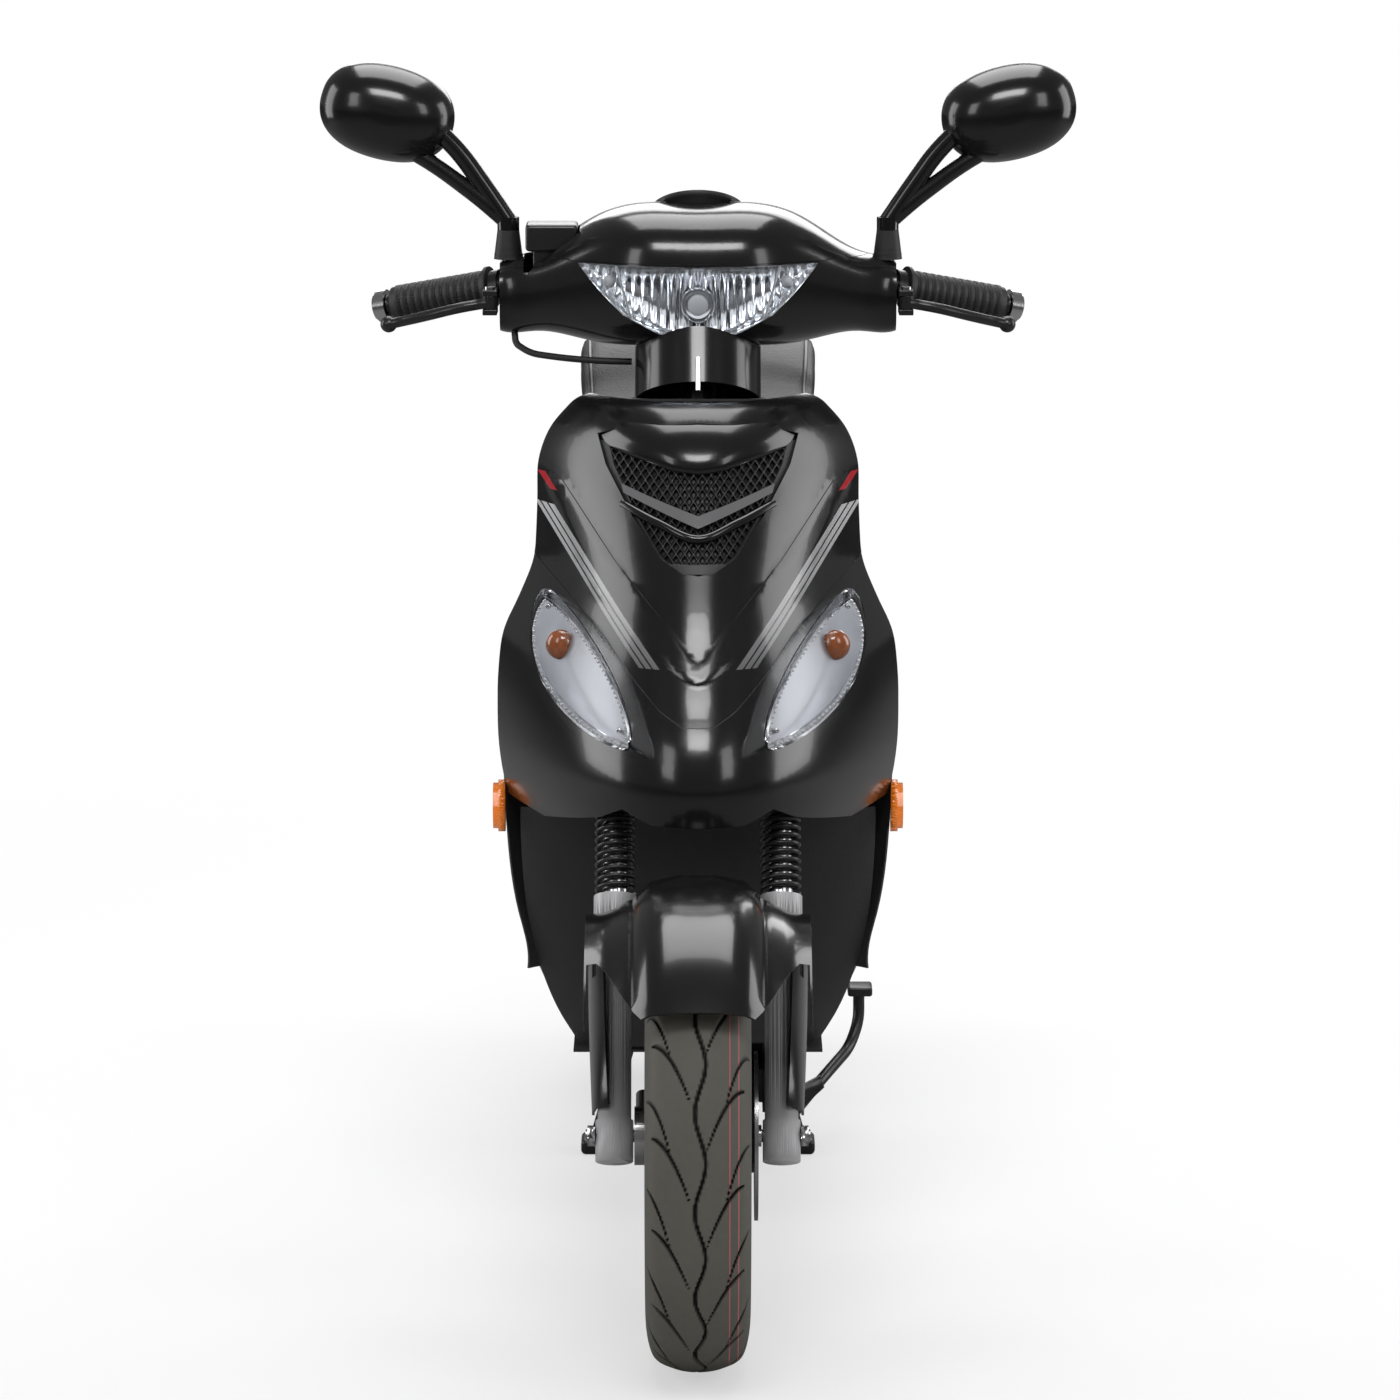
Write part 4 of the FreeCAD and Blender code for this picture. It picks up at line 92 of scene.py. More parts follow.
class Wire:
    """One socket of a material, with arithmetic that adds Math nodes."""

    def __init__(self, graph: "Graph", socket: bpy.types.NodeSocket) -> None:
        """Keeps the graph that the socket is in, and the socket."""
        self.graph = graph
        self.socket = socket

    def _math(self, operation: str, *values: "Wire | float") -> "Wire":
        """Adds a Math node.

        Args:
            operation: the node's operation.
            values: its inputs in order.

        Returns:
            The node's output.
        """
        inputs = dict(enumerate(values))
        return self.graph.node("ShaderNodeMath", {"operation": operation}, inputs)

    def __add__(self, other: "Wire | float") -> "Wire":
        """Sum."""
        return self._math("ADD", self, other)

    __radd__ = __add__

    def __mul__(self, other: "Wire | float") -> "Wire":
        """Product."""
        return self._math("MULTIPLY", self, other)

    __rmul__ = __mul__

    def __sub__(self, other: "Wire | float") -> "Wire":
        """Difference."""
        return self._math("SUBTRACT", self, other)

    def __rsub__(self, other: float) -> "Wire":
        """Difference from a number."""
        return self._math("SUBTRACT", other, self)

    def __truediv__(self, other: "Wire | float") -> "Wire":
        """Quotient."""
        return self._math("DIVIDE", self, other)

    def __pow__(self, other: float) -> "Wire":
        """Power."""
        return self._math("POWER", self, other)

    def __gt__(self, other: "Wire | float") -> "Wire":
        """One where this is the greater, else nought."""
        return self._math("GREATER_THAN", self, other)

    def __lt__(self, other: "Wire | float") -> "Wire":
        """One where this is the less, else nought."""
        return self._math("LESS_THAN", self, other)

    def size(self) -> "Wire":
        """Value without its sign."""
        return self._math("ABSOLUTE", self)

    def sine(self) -> "Wire":
        """Sine of an angle in radians."""
        return self._math("SINE", self)

    def least(self, other: "Wire | float") -> "Wire":
        """The smaller of two."""
        return self._math("MINIMUM", self, other)

    def most(self, other: "Wire | float") -> "Wire":
        """The larger of two."""
        return self._math("MAXIMUM", self, other)


class Graph:
    """A material's nodes, made through one method."""

    def __init__(self, name: str) -> None:
        """Starts a material of that name with an empty tree."""
        self.material = bpy.data.materials.new(name)
        self.material.use_nodes = True
        self.tree = self.material.node_tree
        self.tree.nodes.clear()

    def node(self, kind: str, settings: dict[str, Any] | None = None,
             inputs: dict[Any, Any] | None = None, output: int | str = 0) -> Wire:
        """Adds a node.

        Args:
            kind: the node's type.
            settings: its properties.
            inputs: values or wires for its sockets, by name or number.
            output: which of its outputs is wanted.

        Returns:
            That output.
        """
        made = self.tree.nodes.new(kind)
        for key, value in (settings or {}).items():
            setattr(made, key, value)
        for key, value in (inputs or {}).items():
            if isinstance(value, Wire):
                self.tree.links.new(value.socket, made.inputs[key])
            elif isinstance(value, tuple) and len(made.inputs[key].default_value) > len(value):
                made.inputs[key].default_value = (*value, 1.0)
            else:
                made.inputs[key].default_value = value
        return Wire(self, made.outputs[output])

    def place(self) -> Wire:
        """Object coordinates."""
        return self.node("ShaderNodeTexCoord", output="Object")

    def axes(self) -> tuple[Wire, Wire, Wire]:
        """Object coordinates as three numbers."""
        split = self.node("ShaderNodeSeparateXYZ", inputs={0: self.place()})
        outs = split.socket.node.outputs
        return Wire(self, outs[0]), Wire(self, outs[1]), Wire(self, outs[2])

    def noise(self, scale: float, detail: float = 3.0) -> Wire:
        """Noise on Object coordinates, with its features per metre and its octaves."""
        sizes = {"Vector": self.place(), "Scale": scale, "Detail": detail}
        return self.node("ShaderNodeTexNoise", inputs=sizes)

    def cells(self, scale: float, feature: str = "F1") -> Wire:
        """Voronoi distance on Object coordinates."""
        sizes = {"Vector": self.place(), "Scale": scale}
        return self.node("ShaderNodeTexVoronoi", {"feature": feature}, sizes)

    def blend(self, factor: Wire | float, a: Any, b: Any) -> Wire:
        """Mixes two colours.

        Args:
            factor: 0 for the first, 1 for the second.
            a: the first.
            b: the second.

        Returns:
            The colour.
        """
        colour_a, colour_b, result = 6, 7, 2
        return self.node("ShaderNodeMix", {"data_type": "RGBA"},
                         {"Factor": factor, colour_a: a, colour_b: b}, result)

    def bump(self, height: Wire, strength: float, distance: float) -> Wire:
        """Normal bent by a height."""
        sizes = {"Height": height, "Strength": strength, "Distance": distance}
        return self.node("ShaderNodeBump", inputs=sizes)

    def surface(self, **sockets: Any) -> bpy.types.Material:
        """Ends the material in a Principled shader.

        Args:
            sockets: its inputs, with _ for a space.

        Returns:
            The material.
        """
        inputs = {key.replace("_", " "): value for key, value in sockets.items()}
        shader = self.node("ShaderNodeBsdfPrincipled", inputs=inputs)
        self.node_output(shader)
        return self.material

    def node_output(self, shader: Wire) -> None:
        """Links a shader to the material's output."""
        out = self.tree.nodes.new("ShaderNodeOutputMaterial")
        self.tree.links.new(shader.socket, out.inputs["Surface"])


# ---- finishes -------------------------------------------------------------------------------

Colour = tuple[float, float, float]
BLACK = (0.0055, 0.0055, 0.006)
DUST = (0.42, 0.40, 0.37)
DUST_GRAIN = 60.0           # features per metre of the film of dust


@dataclass(frozen=True)
class Finish:
    """A plain finish: a colour and gloss that vary a little, with a fine relief."""

    name: str
    colour: Colour
    rough: float
    slot: str
    metal: float = 0.0
    coat: float = 0.0
    specular: float = 0.5
    drift: float = 0.12         # how far the colour and gloss wander
    patch: float = 9.0          # size of that wander, features per metre
    relief: float = 0.0         # height of the fine relief, metres
    grain: float = 900.0        # its features per metre
    dust: float = 0.0           # pale film on faces that look up
    see: float = 0.0            # share of light let through

    def tint(self, graph: Graph) -> Any:
        """Base colour of the finish."""
        low = tuple(c * (1 - self.drift) for c in self.colour)
        high = tuple(min(1.0, c * (1 + self.drift)) for c in self.colour)
        return graph.blend(graph.noise(self.patch), low, high)

    def gloss(self, graph: Graph) -> Any:
        """Roughness of the finish."""
        cloud = graph.noise(self.patch * 2.3, 4.0)
        return cloud * (self.rough * self.drift * 2) + self.rough * (1 - self.drift)

    def height(self, graph: Graph) -> Wire | None:
        """Fine relief, or None where the finish is smooth."""
        if self.relief <= 0:
            return None
        return graph.noise(self.grain, 2.0)

    def build(self) -> bpy.types.Material:
        """Makes the material."""
        graph = Graph(self.name)
        colour: Any = self.tint(graph)
        gloss: Any = self.gloss(graph)
        if self.dust > 0:
            normal = graph.node("ShaderNodeNewGeometry", output="Normal")
            up = graph.node("ShaderNodeSeparateXYZ", inputs={0: normal}, output="Z")
            film = (up.most(0.0) ** 3.0) * graph.noise(DUST_GRAIN, 5.0) * self.dust
            colour = graph.blend(film, colour, DUST)
            gloss = gloss + film * 0.4
        sockets: dict[str, Any] = {
            "Base_Color": colour, "Roughness": gloss, "Metallic": self.metal,
            "Specular_IOR_Level": self.specular, "Coat_Weight": self.coat, "Coat_Roughness": 0.02,
            "Transmission_Weight": self.see}
        height = self.height(graph)
        if height is not None:
            sockets["Normal"] = graph.bump(height, 1.0, self.relief)
        return graph.surface(**sockets)


@dataclass(frozen=True)
class StripedGloss(Finish):
    """Gloss black with a pale band on each side of the shield's V, two dark lines in it and a red wedge."""

    angle: float = 51.5         # slope of the band above the horizontal, degrees
    cross: float = 362.4        # height above the axle where the band would reach the middle, mm
    low: float = 419.0          # the band's lower end above the axle, mm
    high: float = 546.0         # its upper end
    seam: float = 335.0         # edge of the front cover behind the axle, mm
    half: float = 0.0075        # half the band's width
    line: float = 0.0007        # half a dark line's width
    above: float = 0.0022       # one dark line above the band's middle
    below: float = 0.0034       # the other below it
    wedge_off: float = 0.0155   # the wedge above the band's middle
    wedge_half: float = 0.0030
    wedge_low: float = 560.0    # its ends above the axle, mm
    wedge_high: float = 575.0
    pale: Colour = (0.50, 0.50, 0.51)
    dark: Colour = (0.01, 0.01, 0.01)
    red: Colour = (0.42, 0.02, 0.03)

    def tint(self, graph: Graph) -> Any:
        """Base colour with the lines drawn along x and z."""
        base = super().tint(graph)
        x, y, z = graph.axes()
        side = x.size()
        slope = math.radians(self.angle)
        off = (z - at(0, 0, self.cross).z) * math.cos(slope) - side * math.sin(slope)
        band = (off.size() < self.half)
        thin = (off - self.above).size() < self.line
        thin = thin.most((off + self.below).size() < self.line)
        reach = (z > at(0, 0, self.low).z) * (z < at(0, 0, self.high).z)
        front = y < at(0, self.seam, 0).y
        fade = ((z - at(0, 0, self.low).z) / ((self.high - self.low) * MM)) * 0.75
        base = graph.blend(band * reach * front * (fade + 0.25), base, self.pale)
        base = graph.blend(thin * reach * front, base, self.dark)
        near = (off - self.wedge_off).size() < self.wedge_half
        wedge = near * (z > at(0, 0, self.wedge_low).z) * (z < at(0, 0, self.wedge_high).z) * front
        return graph.blend(wedge, base, self.red)


@dataclass(frozen=True)
class TyreRubber(Finish):
    """Tyre rubber: painted shade in the grooves, scuffed, with two faint red lines on the front tread."""

    lines: tuple[float, float] = (0.0285, 0.0365)       # places of the two lines along x
    line: float = 0.0005                                # half a line's width
    scuffed: Colour = (0.135, 0.130, 0.108)
    red: Colour = (0.42, 0.11, 0.12)
    # painted shade: the near black that the grooves take at their deepest
    sunk: Colour = (0.006, 0.006, 0.006)

    def tint(self, graph: Graph) -> Any:
        """Base colour with scuffs on the tread, the two lines and painted shade in the grooves."""
        base = super().tint(graph)
        x, y, _ = graph.axes()
        first, second = ((x - place).size() < self.line for place in self.lines)
        lines = first.most(second)
        front = y < (FRONT_AXLE.y + REAR_AXLE.y) / 2
        worn = graph.noise(140.0, 5.0) * 0.35
        base = graph.blend(worn, base, self.scuffed)
        base = graph.blend(lines * front, base, self.red)
        # painted shade in the grooves: the colour goes towards the near black by the groove depth
        sunk = graph.node("ShaderNodeAttribute", {"attribute_name": "groove"}, output="Fac")
        return graph.blend(sunk, base, self.sunk)


@dataclass(frozen=True)
class Vinyl(Finish):
    """Seat cover: leather-like pebbles with creases between them."""

    def height(self, graph: Graph) -> Wire:
        """Pebbled grain."""
        return graph.cells(self.grain) + graph.cells(self.grain * 0.43, "SMOOTH_F1") * 0.6


@dataclass(frozen=True)
class Prism(Finish):
    """Coloured moulding with fine optics: small crossed waves."""

    pitch: float = 0.004

    def height(self, graph: Graph) -> Wire:
        """Sine of x times sine of z."""
        x, _, z = graph.axes()
        return (x * (2 * math.pi / self.pitch)).sine() * (z * (2 * math.pi / self.pitch)).sine()


@dataclass(frozen=True)
class Ringed(Finish):
    """Turned or brushed metal: fine rings about an axle that lies along x."""

    centre: tuple[float, float] = (0.0, 0.0)

    def height(self, graph: Graph) -> Wire:
        """Noise of the distance from the axle."""
        _, y, z = graph.axes()
        squares = (y - self.centre[0]) ** 2.0 + (z - self.centre[1]) ** 2.0
        return graph.node("ShaderNodeTexNoise", {"noise_dimensions": "1D"},
                          {"W": squares ** 0.5, "Scale": self.grain})


@dataclass(frozen=True)
class Disc(Finish):
    """Reflector: its own colour inside a round patch seen from the side, with painted glints that make cells
    of the patch lighter, black on the foot behind it.
    """

    centre: tuple[float, float] = (0.0, 0.0)
    radius: float = 0.03
    outside: Colour = (0.012, 0.012, 0.012)
    beyond: float = 0.19        # the patch starts this far from the middle plane

    def tint(self, graph: Graph) -> Any:
        """Base colour by the place, with painted glints in a pattern of cells."""
        x, y, z = graph.axes()
        far = ((y - self.centre[0]) ** 2.0 + (z - self.centre[1]) ** 2.0) ** 0.5
        inside = (far < self.radius) * (x.size() > self.beyond)
        # painted glints: a lit, brighter copy of the colour laid in by a pattern of cells
        ribs = graph.cells(420.0)
        lit = graph.blend(ribs, self.colour, tuple(min(1.0, c * 1.5 + 0.02) for c in self.colour))
        return graph.blend(inside, self.outside, lit)


class Look(Enum):
    """The finishes of this scooter."""

    GLOSS = Finish("gloss_black_panel", BLACK, 0.19, "gloss_black", coat=0.2, drift=0.25, dust=0.02)
    STRIPED = StripedGloss("striped_front_cover", BLACK, 0.19, "gloss_black", coat=0.2, drift=0.25)
    SATIN = Finish("satin_black_plastic", (0.016, 0.016, 0.017), 0.42, "satin_black",
                   relief=0.00012, grain=1400.0, dust=0.06)
    MATT = Finish("grained_black_plastic", (0.022, 0.022, 0.023), 0.55, "satin_black",
                  relief=0.0002, grain=900.0, dust=0.08)
    PAINT = Finish("black_painted_steel", (0.013, 0.013, 0.014), 0.28, "black_paint",
                   relief=0.00006, grain=500.0, dust=0.05)
    FORK = Finish("silver_grey_paint", (0.46, 0.46, 0.47), 0.4, "fork_grey", metal=0.15,
                  relief=0.00005, grain=700.0)
    CAST = Finish("cast_aluminium", (0.48, 0.48, 0.49), 0.42, "cast_alloy", metal=0.9,
                  relief=0.00025, grain=650.0, dust=0.1)
    DARK_CAST = Finish("dark_caliper", (0.035, 0.035, 0.037), 0.4, "cast_alloy", metal=0.4,
                       relief=0.0002, grain=650.0)
    STEEL = Finish("plated_steel", (0.60, 0.60, 0.61), 0.2, "bright_steel", metal=1.0,
                   relief=0.00003, grain=1500.0)
    DISC = Ringed("ground_disc", (0.56, 0.56, 0.57), 0.24, "bright_steel", metal=1.0,
                  relief=0.00005, grain=2400.0, centre=(FRONT_AXLE.y, FRONT_AXLE.z))
    CHROME = Finish("bright_chrome", (0.86, 0.86, 0.88), 0.05, "chrome_trim", metal=1.0, drift=0.05)
    HOT = Finish("exhaust_black", (0.02, 0.02, 0.02), 0.5, "black_paint", relief=0.0002,
                 grain=500.0, dust=0.12)
    TYRE = TyreRubber("tyre_rubber", (0.088, 0.086, 0.072), 0.62, "tyre_rubber", relief=0.00015,
                      grain=700.0, specular=0.35)
    GRIP = Finish("grip_rubber", (0.012, 0.012, 0.012), 0.55, "grip_rubber", relief=0.00015, grain=1200.0)
    MAT = Finish("floor_mat_rubber", (0.022, 0.022, 0.022), 0.6, "satin_black", relief=0.0002,
                 grain=1000.0, dust=0.25)
    VINYL = Vinyl("seat_vinyl", (0.010, 0.010, 0.011), 0.48, "seat_vinyl", relief=0.00035,
                  grain=520.0, specular=0.35, dust=0.03)
    PIPING = Finish("seat_piping", (0.012, 0.012, 0.013), 0.4, "seat_vinyl", relief=0.0001, grain=1300.0)
    THREAD = Finish("seat_thread", (0.05, 0.05, 0.052), 0.7, "seat_vinyl", relief=0.0001, grain=2600.0)
    LENS = Finish("clear_lens", (0.95, 0.97, 1.0), 0.02, "lamp_clear", see=1.0, drift=0.01)
    FLUTED = Finish("signal_lens", (0.96, 0.97, 1.0), 0.02, "lamp_clear", see=1.0, drift=0.01)
    MIRROR = Finish("lamp_reflector", (0.80, 0.81, 0.83), 0.13, "chrome_trim", metal=1.0, drift=0.1)
    TRAY = Finish("signal_tray", (0.30, 0.31, 0.34), 0.3, "chrome_trim", metal=0.5)
    AMBER = Finish("amber_bulb", (0.26, 0.075, 0.025), 0.15, "reflector_orange", coat=0.6,
                   drift=0.5, patch=160.0)
    ORANGE = Finish("orange_lens", (0.75, 0.20, 0.015), 0.12, "reflector_orange", coat=0.5,
                    relief=0.0006, grain=260.0)
    REFLEX = Disc("reflex_reflector", (0.80, 0.17, 0.01), 0.14, "reflector_orange", coat=0.6, beyond=0.184,
                  centre=(at(0, 345, 0).y, at(0, 0, 247).z))
    RED = Prism("red_tail_lens", (0.42, 0.008, 0.01), 0.08, "lamp_red", coat=0.6, relief=0.0007,
                pitch=0.005)
    GLASS = Finish("dial_glass", (0.96, 0.97, 0.98), 0.02, "dial", see=1.0, drift=0.01)
    SILVERED = Finish("mirror_glass", (0.78, 0.80, 0.82), 0.015, "lamp_clear", metal=1.0, drift=0.02)
    FACE = Finish("dial_face", (0.012, 0.012, 0.014), 0.5, "dial", relief=0.00002, grain=2000.0)
    MARK = Finish("dial_marks", (0.75, 0.76, 0.76), 0.5, "dial", drift=0.05)
    NEEDLE = Finish("dial_needle", (0.70, 0.05, 0.02), 0.4, "dial", drift=0.05)
    PALE = Finish("lamp_divider", (0.60, 0.61, 0.62), 0.3, "lamp_clear", drift=0.1)
    BEAD = Finish("lens_beads", (0.75, 0.76, 0.78), 0.1, "lamp_clear", metal=0.7, drift=0.1)


class Paintbox:
    """Makes each finish's material once."""

    made: dict[Look, bpy.types.Material] = {}

    @classmethod
    def of(cls, look: Look) -> bpy.types.Material:
        """Material of a finish."""
        if look not in cls.made:
            cls.made[look] = look.value.build()
        return cls.made[look]


# ---- mesh tools -----------------------------------------------------------------------------


def grid_faces(rows: int, columns: int, loop_rows: bool = False, loop_columns: bool = False) -> Array:
    """Quads of a grid of points.

    Args:
        rows: points along the first parameter.
        columns: points along the second.
        loop_rows: the last row joins the first.
        loop_columns: the last column joins the first.

    Returns:
        Corner numbers, four to a quad.
    """
    r = np.arange(rows if loop_rows else rows - 1)[:, None]
    c = np.arange(columns if loop_columns else columns - 1)[None, :]
    r1, c1 = (r + 1) % rows, (c + 1) % columns
    quads = np.stack([r * columns + c, r * columns + c1, r1 * columns + c1, r1 * columns + c], axis=-1)
    return quads.reshape(-1, 4)


def linked(name: str, data: Any) -> bpy.types.Object:
    """Puts a new object with that data into the scene."""
    made = bpy.data.objects.new(name, data)
    bpy.context.scene.collection.objects.link(made)
    return made


def new_piece(name: str, points: Array, faces: Array | list[list[int]], look: Look, body: str,
              smooth: bool = True) -> bpy.types.Object:
    """Makes a piece from points and faces, dresses it and puts it on a body.

    Args:
        name: the piece's name.
        points: n by 3 places.
        faces: corner numbers, three or four to a face.
        look: its finish.
        body: the CAD body it rides on.
        smooth: smooth shading, with sharp edges kept sharp.

    Returns:
        The object.
    """
    mesh = bpy.data.meshes.new(name)
    corners = faces if isinstance(faces, list) else faces.tolist()
    mesh.from_pydata(np.asarray(points, float).reshape(-1, 3).tolist(), [], corners)
    shell = bmesh.new()
    shell.from_mesh(mesh)
    bmesh.ops.remove_doubles(shell, verts=shell.verts, dist=1e-6)
    bmesh.ops.recalc_face_normals(shell, faces=shell.faces)
    shell.to_mesh(mesh)
    shell.free()
    if smooth:
        soften(mesh, SHARP)
    return dress(linked(name, mesh), look, body)


def dress(piece: bpy.types.Object, look: Look, body: str) -> bpy.types.Object:
    """Gives a piece its finish and its body."""
    piece.data.materials.clear()
    piece.data.materials.append(Paintbox.of(look))
    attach(piece, body)
    LOG.info("%s: %s", piece.name, look.value.name)
    return piece


def soften(mesh: bpy.types.Mesh, angle: float) -> None:
    """Smooth shading, with edges sharper than an angle in degrees kept sharp."""
    mesh.polygons.foreach_set("use_smooth", np.ones(len(mesh.polygons), bool))
    mesh.set_sharp_from_angle(angle=math.radians(angle))
    mesh.update()


def swept(path: Array, profile: Array, across: Array | None = None,
          closed: bool = False) -> tuple[Array, list[list[int]]]:
    """Carries a closed profile along a path.

    Each point is path + u * across + v * (tangent x across), for the profile's u and v.

    Args:
        path: n by 3 places.
        profile: m by 2 sizes, u and v.
        across: n by 3 unit vectors for u, or None for vectors near to +Z's.
        closed: the path's end joins its start.

    Returns:
        Points and faces, with the ends closed where the path is open.
    """
    step = np.roll(path, -1, 0) - np.roll(path, 1, 0)
    if not closed:
        step[0], step[-1] = path[1] - path[0], path[-1] - path[-2]
    tangent = step / np.linalg.norm(step, axis=1)[:, None]
    if across is None:
        guide = np.tile([0.0, 0.0, 1.0], (len(path), 1))
        guide[np.abs(tangent[:, 2]) > 0.9] = [0.0, 1.0, 0.0]
        across = np.cross(tangent, guide)
    across = across / np.linalg.norm(across, axis=1)[:, None]
    up = np.cross(tangent, across)
    points = path[:, None] + across[:, None] * profile[None, :, :1] + up[:, None] * profile[None, :, 1:]
    count, corners = len(path), len(profile)
    faces = grid_faces(count, corners, closed, True).tolist()
    if not closed:
        faces += [list(range(corners)), [(count - 1) * corners + k for k in range(corners)][::-1]]
    return points.reshape(-1, 3), faces


def circle(radius: float, corners: int = 12) -> Array:
    """Round profile."""
    turn = np.arange(corners) * 2 * np.pi / corners
    return np.stack([np.cos(turn), np.sin(turn)], 1) * radius


def turned(profile: Array, centre: Vector, axis: Vector, corners: int = 48) -> tuple[Array, Array]:
    """Turns a profile about an axis.

    Args:
        profile: n by 2, radius and distance along the axis, from pole to pole.
        centre: where the axis starts.
        axis: its direction.
        corners: faces round it.

    Returns:
        Points and faces.
    """
    axis = axis.normalized()
    side = axis.orthogonal().normalized()
    up = axis.cross(side)
    turn = np.arange(corners) * 2 * np.pi / corners
    ring = np.cos(turn)[:, None] * np.array(side) + np.sin(turn)[:, None] * np.array(up)
    profile = np.asarray(profile, float)
    points = np.array(centre) + profile[:, None, :1] * ring[None] + profile[:, None, 1:] * np.array(axis)
    return points.reshape(-1, 3), grid_faces(len(profile), corners, False, True)


def gathered(parts: Iterable[tuple[Array, Array]]) -> tuple[Array, list]:
    """Joins several meshes' points and faces into one."""
    points, faces, base = [], [], 0
    for some_points, some_faces in parts:
        points.append(some_points)
        faces += [[int(corner) + base for corner in face] for face in some_faces]
        base += len(some_points)
    return np.concatenate(points), faces


def smooth_line(points: Sequence[Sequence[float]], count: int) -> Array:
    """Curve through points by Catmull and Rom's cubic, with count places on each run."""
    p = np.asarray(points, float)
    p = np.concatenate([2 * p[:1] - p[1:2], p, 2 * p[-1:] - p[-2:-1]])
    t = np.linspace(0, 1, count, endpoint=False)[:, None]
    runs = []
    for a, b, c, d in zip(p[:-3], p[1:-2], p[2:-1], p[3:]):
        runs.append(0.5 * (2 * b + (c - a) * t + (2 * a - 5 * b + 4 * c - d) * t ** 2
                           + (3 * b - a - 3 * c + d) * t ** 3))
    return np.concatenate([*runs, p[-2:-1]])


class Copy:
    """A CAD node's own shape with merged corners and smooth shading, split where its solids are apart."""

    def __init__(self, node: str, split: bool = False) -> None:
        """Copies the node's mesh, as one mesh or, where split is set, as one of each separate solid."""
        source = frame["nodes"][node]
        self.node = node
        self.body = source["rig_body"]
        shell = bmesh.new()
        shell.from_mesh(source.data)
        bmesh.ops.remove_doubles(shell, verts=shell.verts, dist=2e-6)
        mesh = bpy.data.meshes.new(node + "_shape")
        shell.to_mesh(mesh)
        shell.free()
        self.meshes = self.islands(mesh) if split else [mesh]
        for part in self.meshes:
            soften(part, SHARP_CAD)

    @staticmethod
    def islands(mesh: bpy.types.Mesh) -> list[bpy.types.Mesh]:
        """Separate solids of a mesh, largest box first.

        Faces that share an edge are one solid. Where touching solids share an edge, faces pair up in
        their stored order, as each solid's faces are stored together. Labels spread until none changes.
        """
        places = np.zeros(len(mesh.vertices) * 3)
        mesh.vertices.foreach_get("co", places)
        places = places.reshape(-1, 3)
        loops = np.zeros(len(mesh.loops), np.int32)
        mesh.loops.foreach_get("vertex_index", loops)
        faces = loops.reshape(-1, 3)
        pairs = np.sort(np.concatenate([faces[:, [0, 1]], faces[:, [1, 2]], faces[:, [2, 0]]]), axis=1)
        owner = np.tile(np.arange(len(faces)), 3)
        order = np.lexsort((owner, pairs[:, 1], pairs[:, 0]))
        pairs, owner = pairs[order], owner[order]
        fresh = np.concatenate([[True], np.any(pairs[1:] != pairs[:-1], axis=1)])
        index = np.arange(len(fresh))
        rank = index - np.maximum.accumulate(np.where(fresh, index, 0))
        joined = ~fresh[1:] & (rank[1:] % 2 == 1)
        left, right = owner[:-1][joined], owner[1:][joined]
        label = np.arange(len(faces))
        while True:
            before = label.copy()
            least = np.minimum(label[left], label[right])
            np.minimum.at(label, left, least)
            np.minimum.at(label, right, least)
            label = label[label]
            if np.array_equal(before, label):
                break
        parts = []
        for mark in np.unique(label):
            used, corners = np.unique(faces[label == mark], return_inverse=True)
            part = bpy.data.meshes.new(mesh.name)
            part.from_pydata(places[used].tolist(), [], corners.reshape(-1, 3).tolist())
            parts.append((float(np.prod(np.ptp(places[used], axis=0) + 1e-4)), part))
        return [part for _, part in sorted(parts, key=lambda pair: -pair[0])]

    def place(self, name: str, look: Look, number: int = 0, bevel: float = 0.0) -> bpy.types.Object:
        """Shows one of the solids.

        Args:
            name: the piece's name.
            look: its finish.
            number: which solid.
            bevel: width of a rounded edge in metres.

        Returns:
            The object, standing for the node.
        """
        piece = linked(name, self.meshes[number])
        if bevel > 0:
            rounding = piece.modifiers.new("edge", "BEVEL")
            rounding.width = bevel
            rounding.segments = 2
            rounding.limit_method = "ANGLE"
            rounding.angle_limit = math.radians(50)
        dress(piece, look, self.body)
        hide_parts(self.node)
        return piece

    def place_each(self, stem: str, look_of: Callable[[int], Look]) -> None:
        """Shows every solid, named stem_0, stem_1 and so on, in the finish that look_of gives its number."""
        for number in range(len(self.meshes)):
            self.place(f"{stem}_{number}", look_of(number), number)

    def points(self, number: int) -> Array:
        """Corners of a solid."""
        mesh = self.meshes[number]
        places = np.zeros(len(mesh.vertices) * 3)
        mesh.vertices.foreach_get("co", places)
        return places.reshape(-1, 3)

    def centre(self, number: int) -> Array:
        """Middle of a solid's box."""
        places = self.points(number)
        return (places.min(0) + places.max(0)) / 2

    def extent(self, number: int) -> Array:
        """Sizes of a solid's box."""
        return np.ptp(self.points(number), axis=0)


class Sheet:
    """Smooth fit of a panel's front: y as a polynomial of |x| and z through a node's foremost points."""

    def __init__(self, points: Array, degree: int = 5) -> None:
        """Fits the polynomial by least squares.

        Args:
            points: places on the panel's front.
            degree: the polynomial's degree.
        """
        self.powers = [(i, j) for i in range(degree + 1) for j in range(degree + 1 - i)]
        self.middle = points[:, 2].mean()
        self.spread = max(np.ptp(points[:, 2]) / 2, 1e-3)
        self.wide = max(np.abs(points[:, 0]).max(), 1e-3)
        terms = self._terms(points[:, 0], points[:, 2])
        self.factors = np.linalg.lstsq(terms, points[:, 1], rcond=None)[0]

    def _terms(self, x: Array, z: Array) -> Array:
        """Powers of |x| and z, scaled to about one."""
        u, w = np.abs(x) / self.wide, (z - self.middle) / self.spread
        return np.stack([u ** i * w ** j for i, j in self.powers], -1)

    def depth(self, x: Array, z: Array) -> Array:
        """The panel's y at x and z."""
        return self._terms(np.asarray(x, float), np.asarray(z, float)) @ self.factors


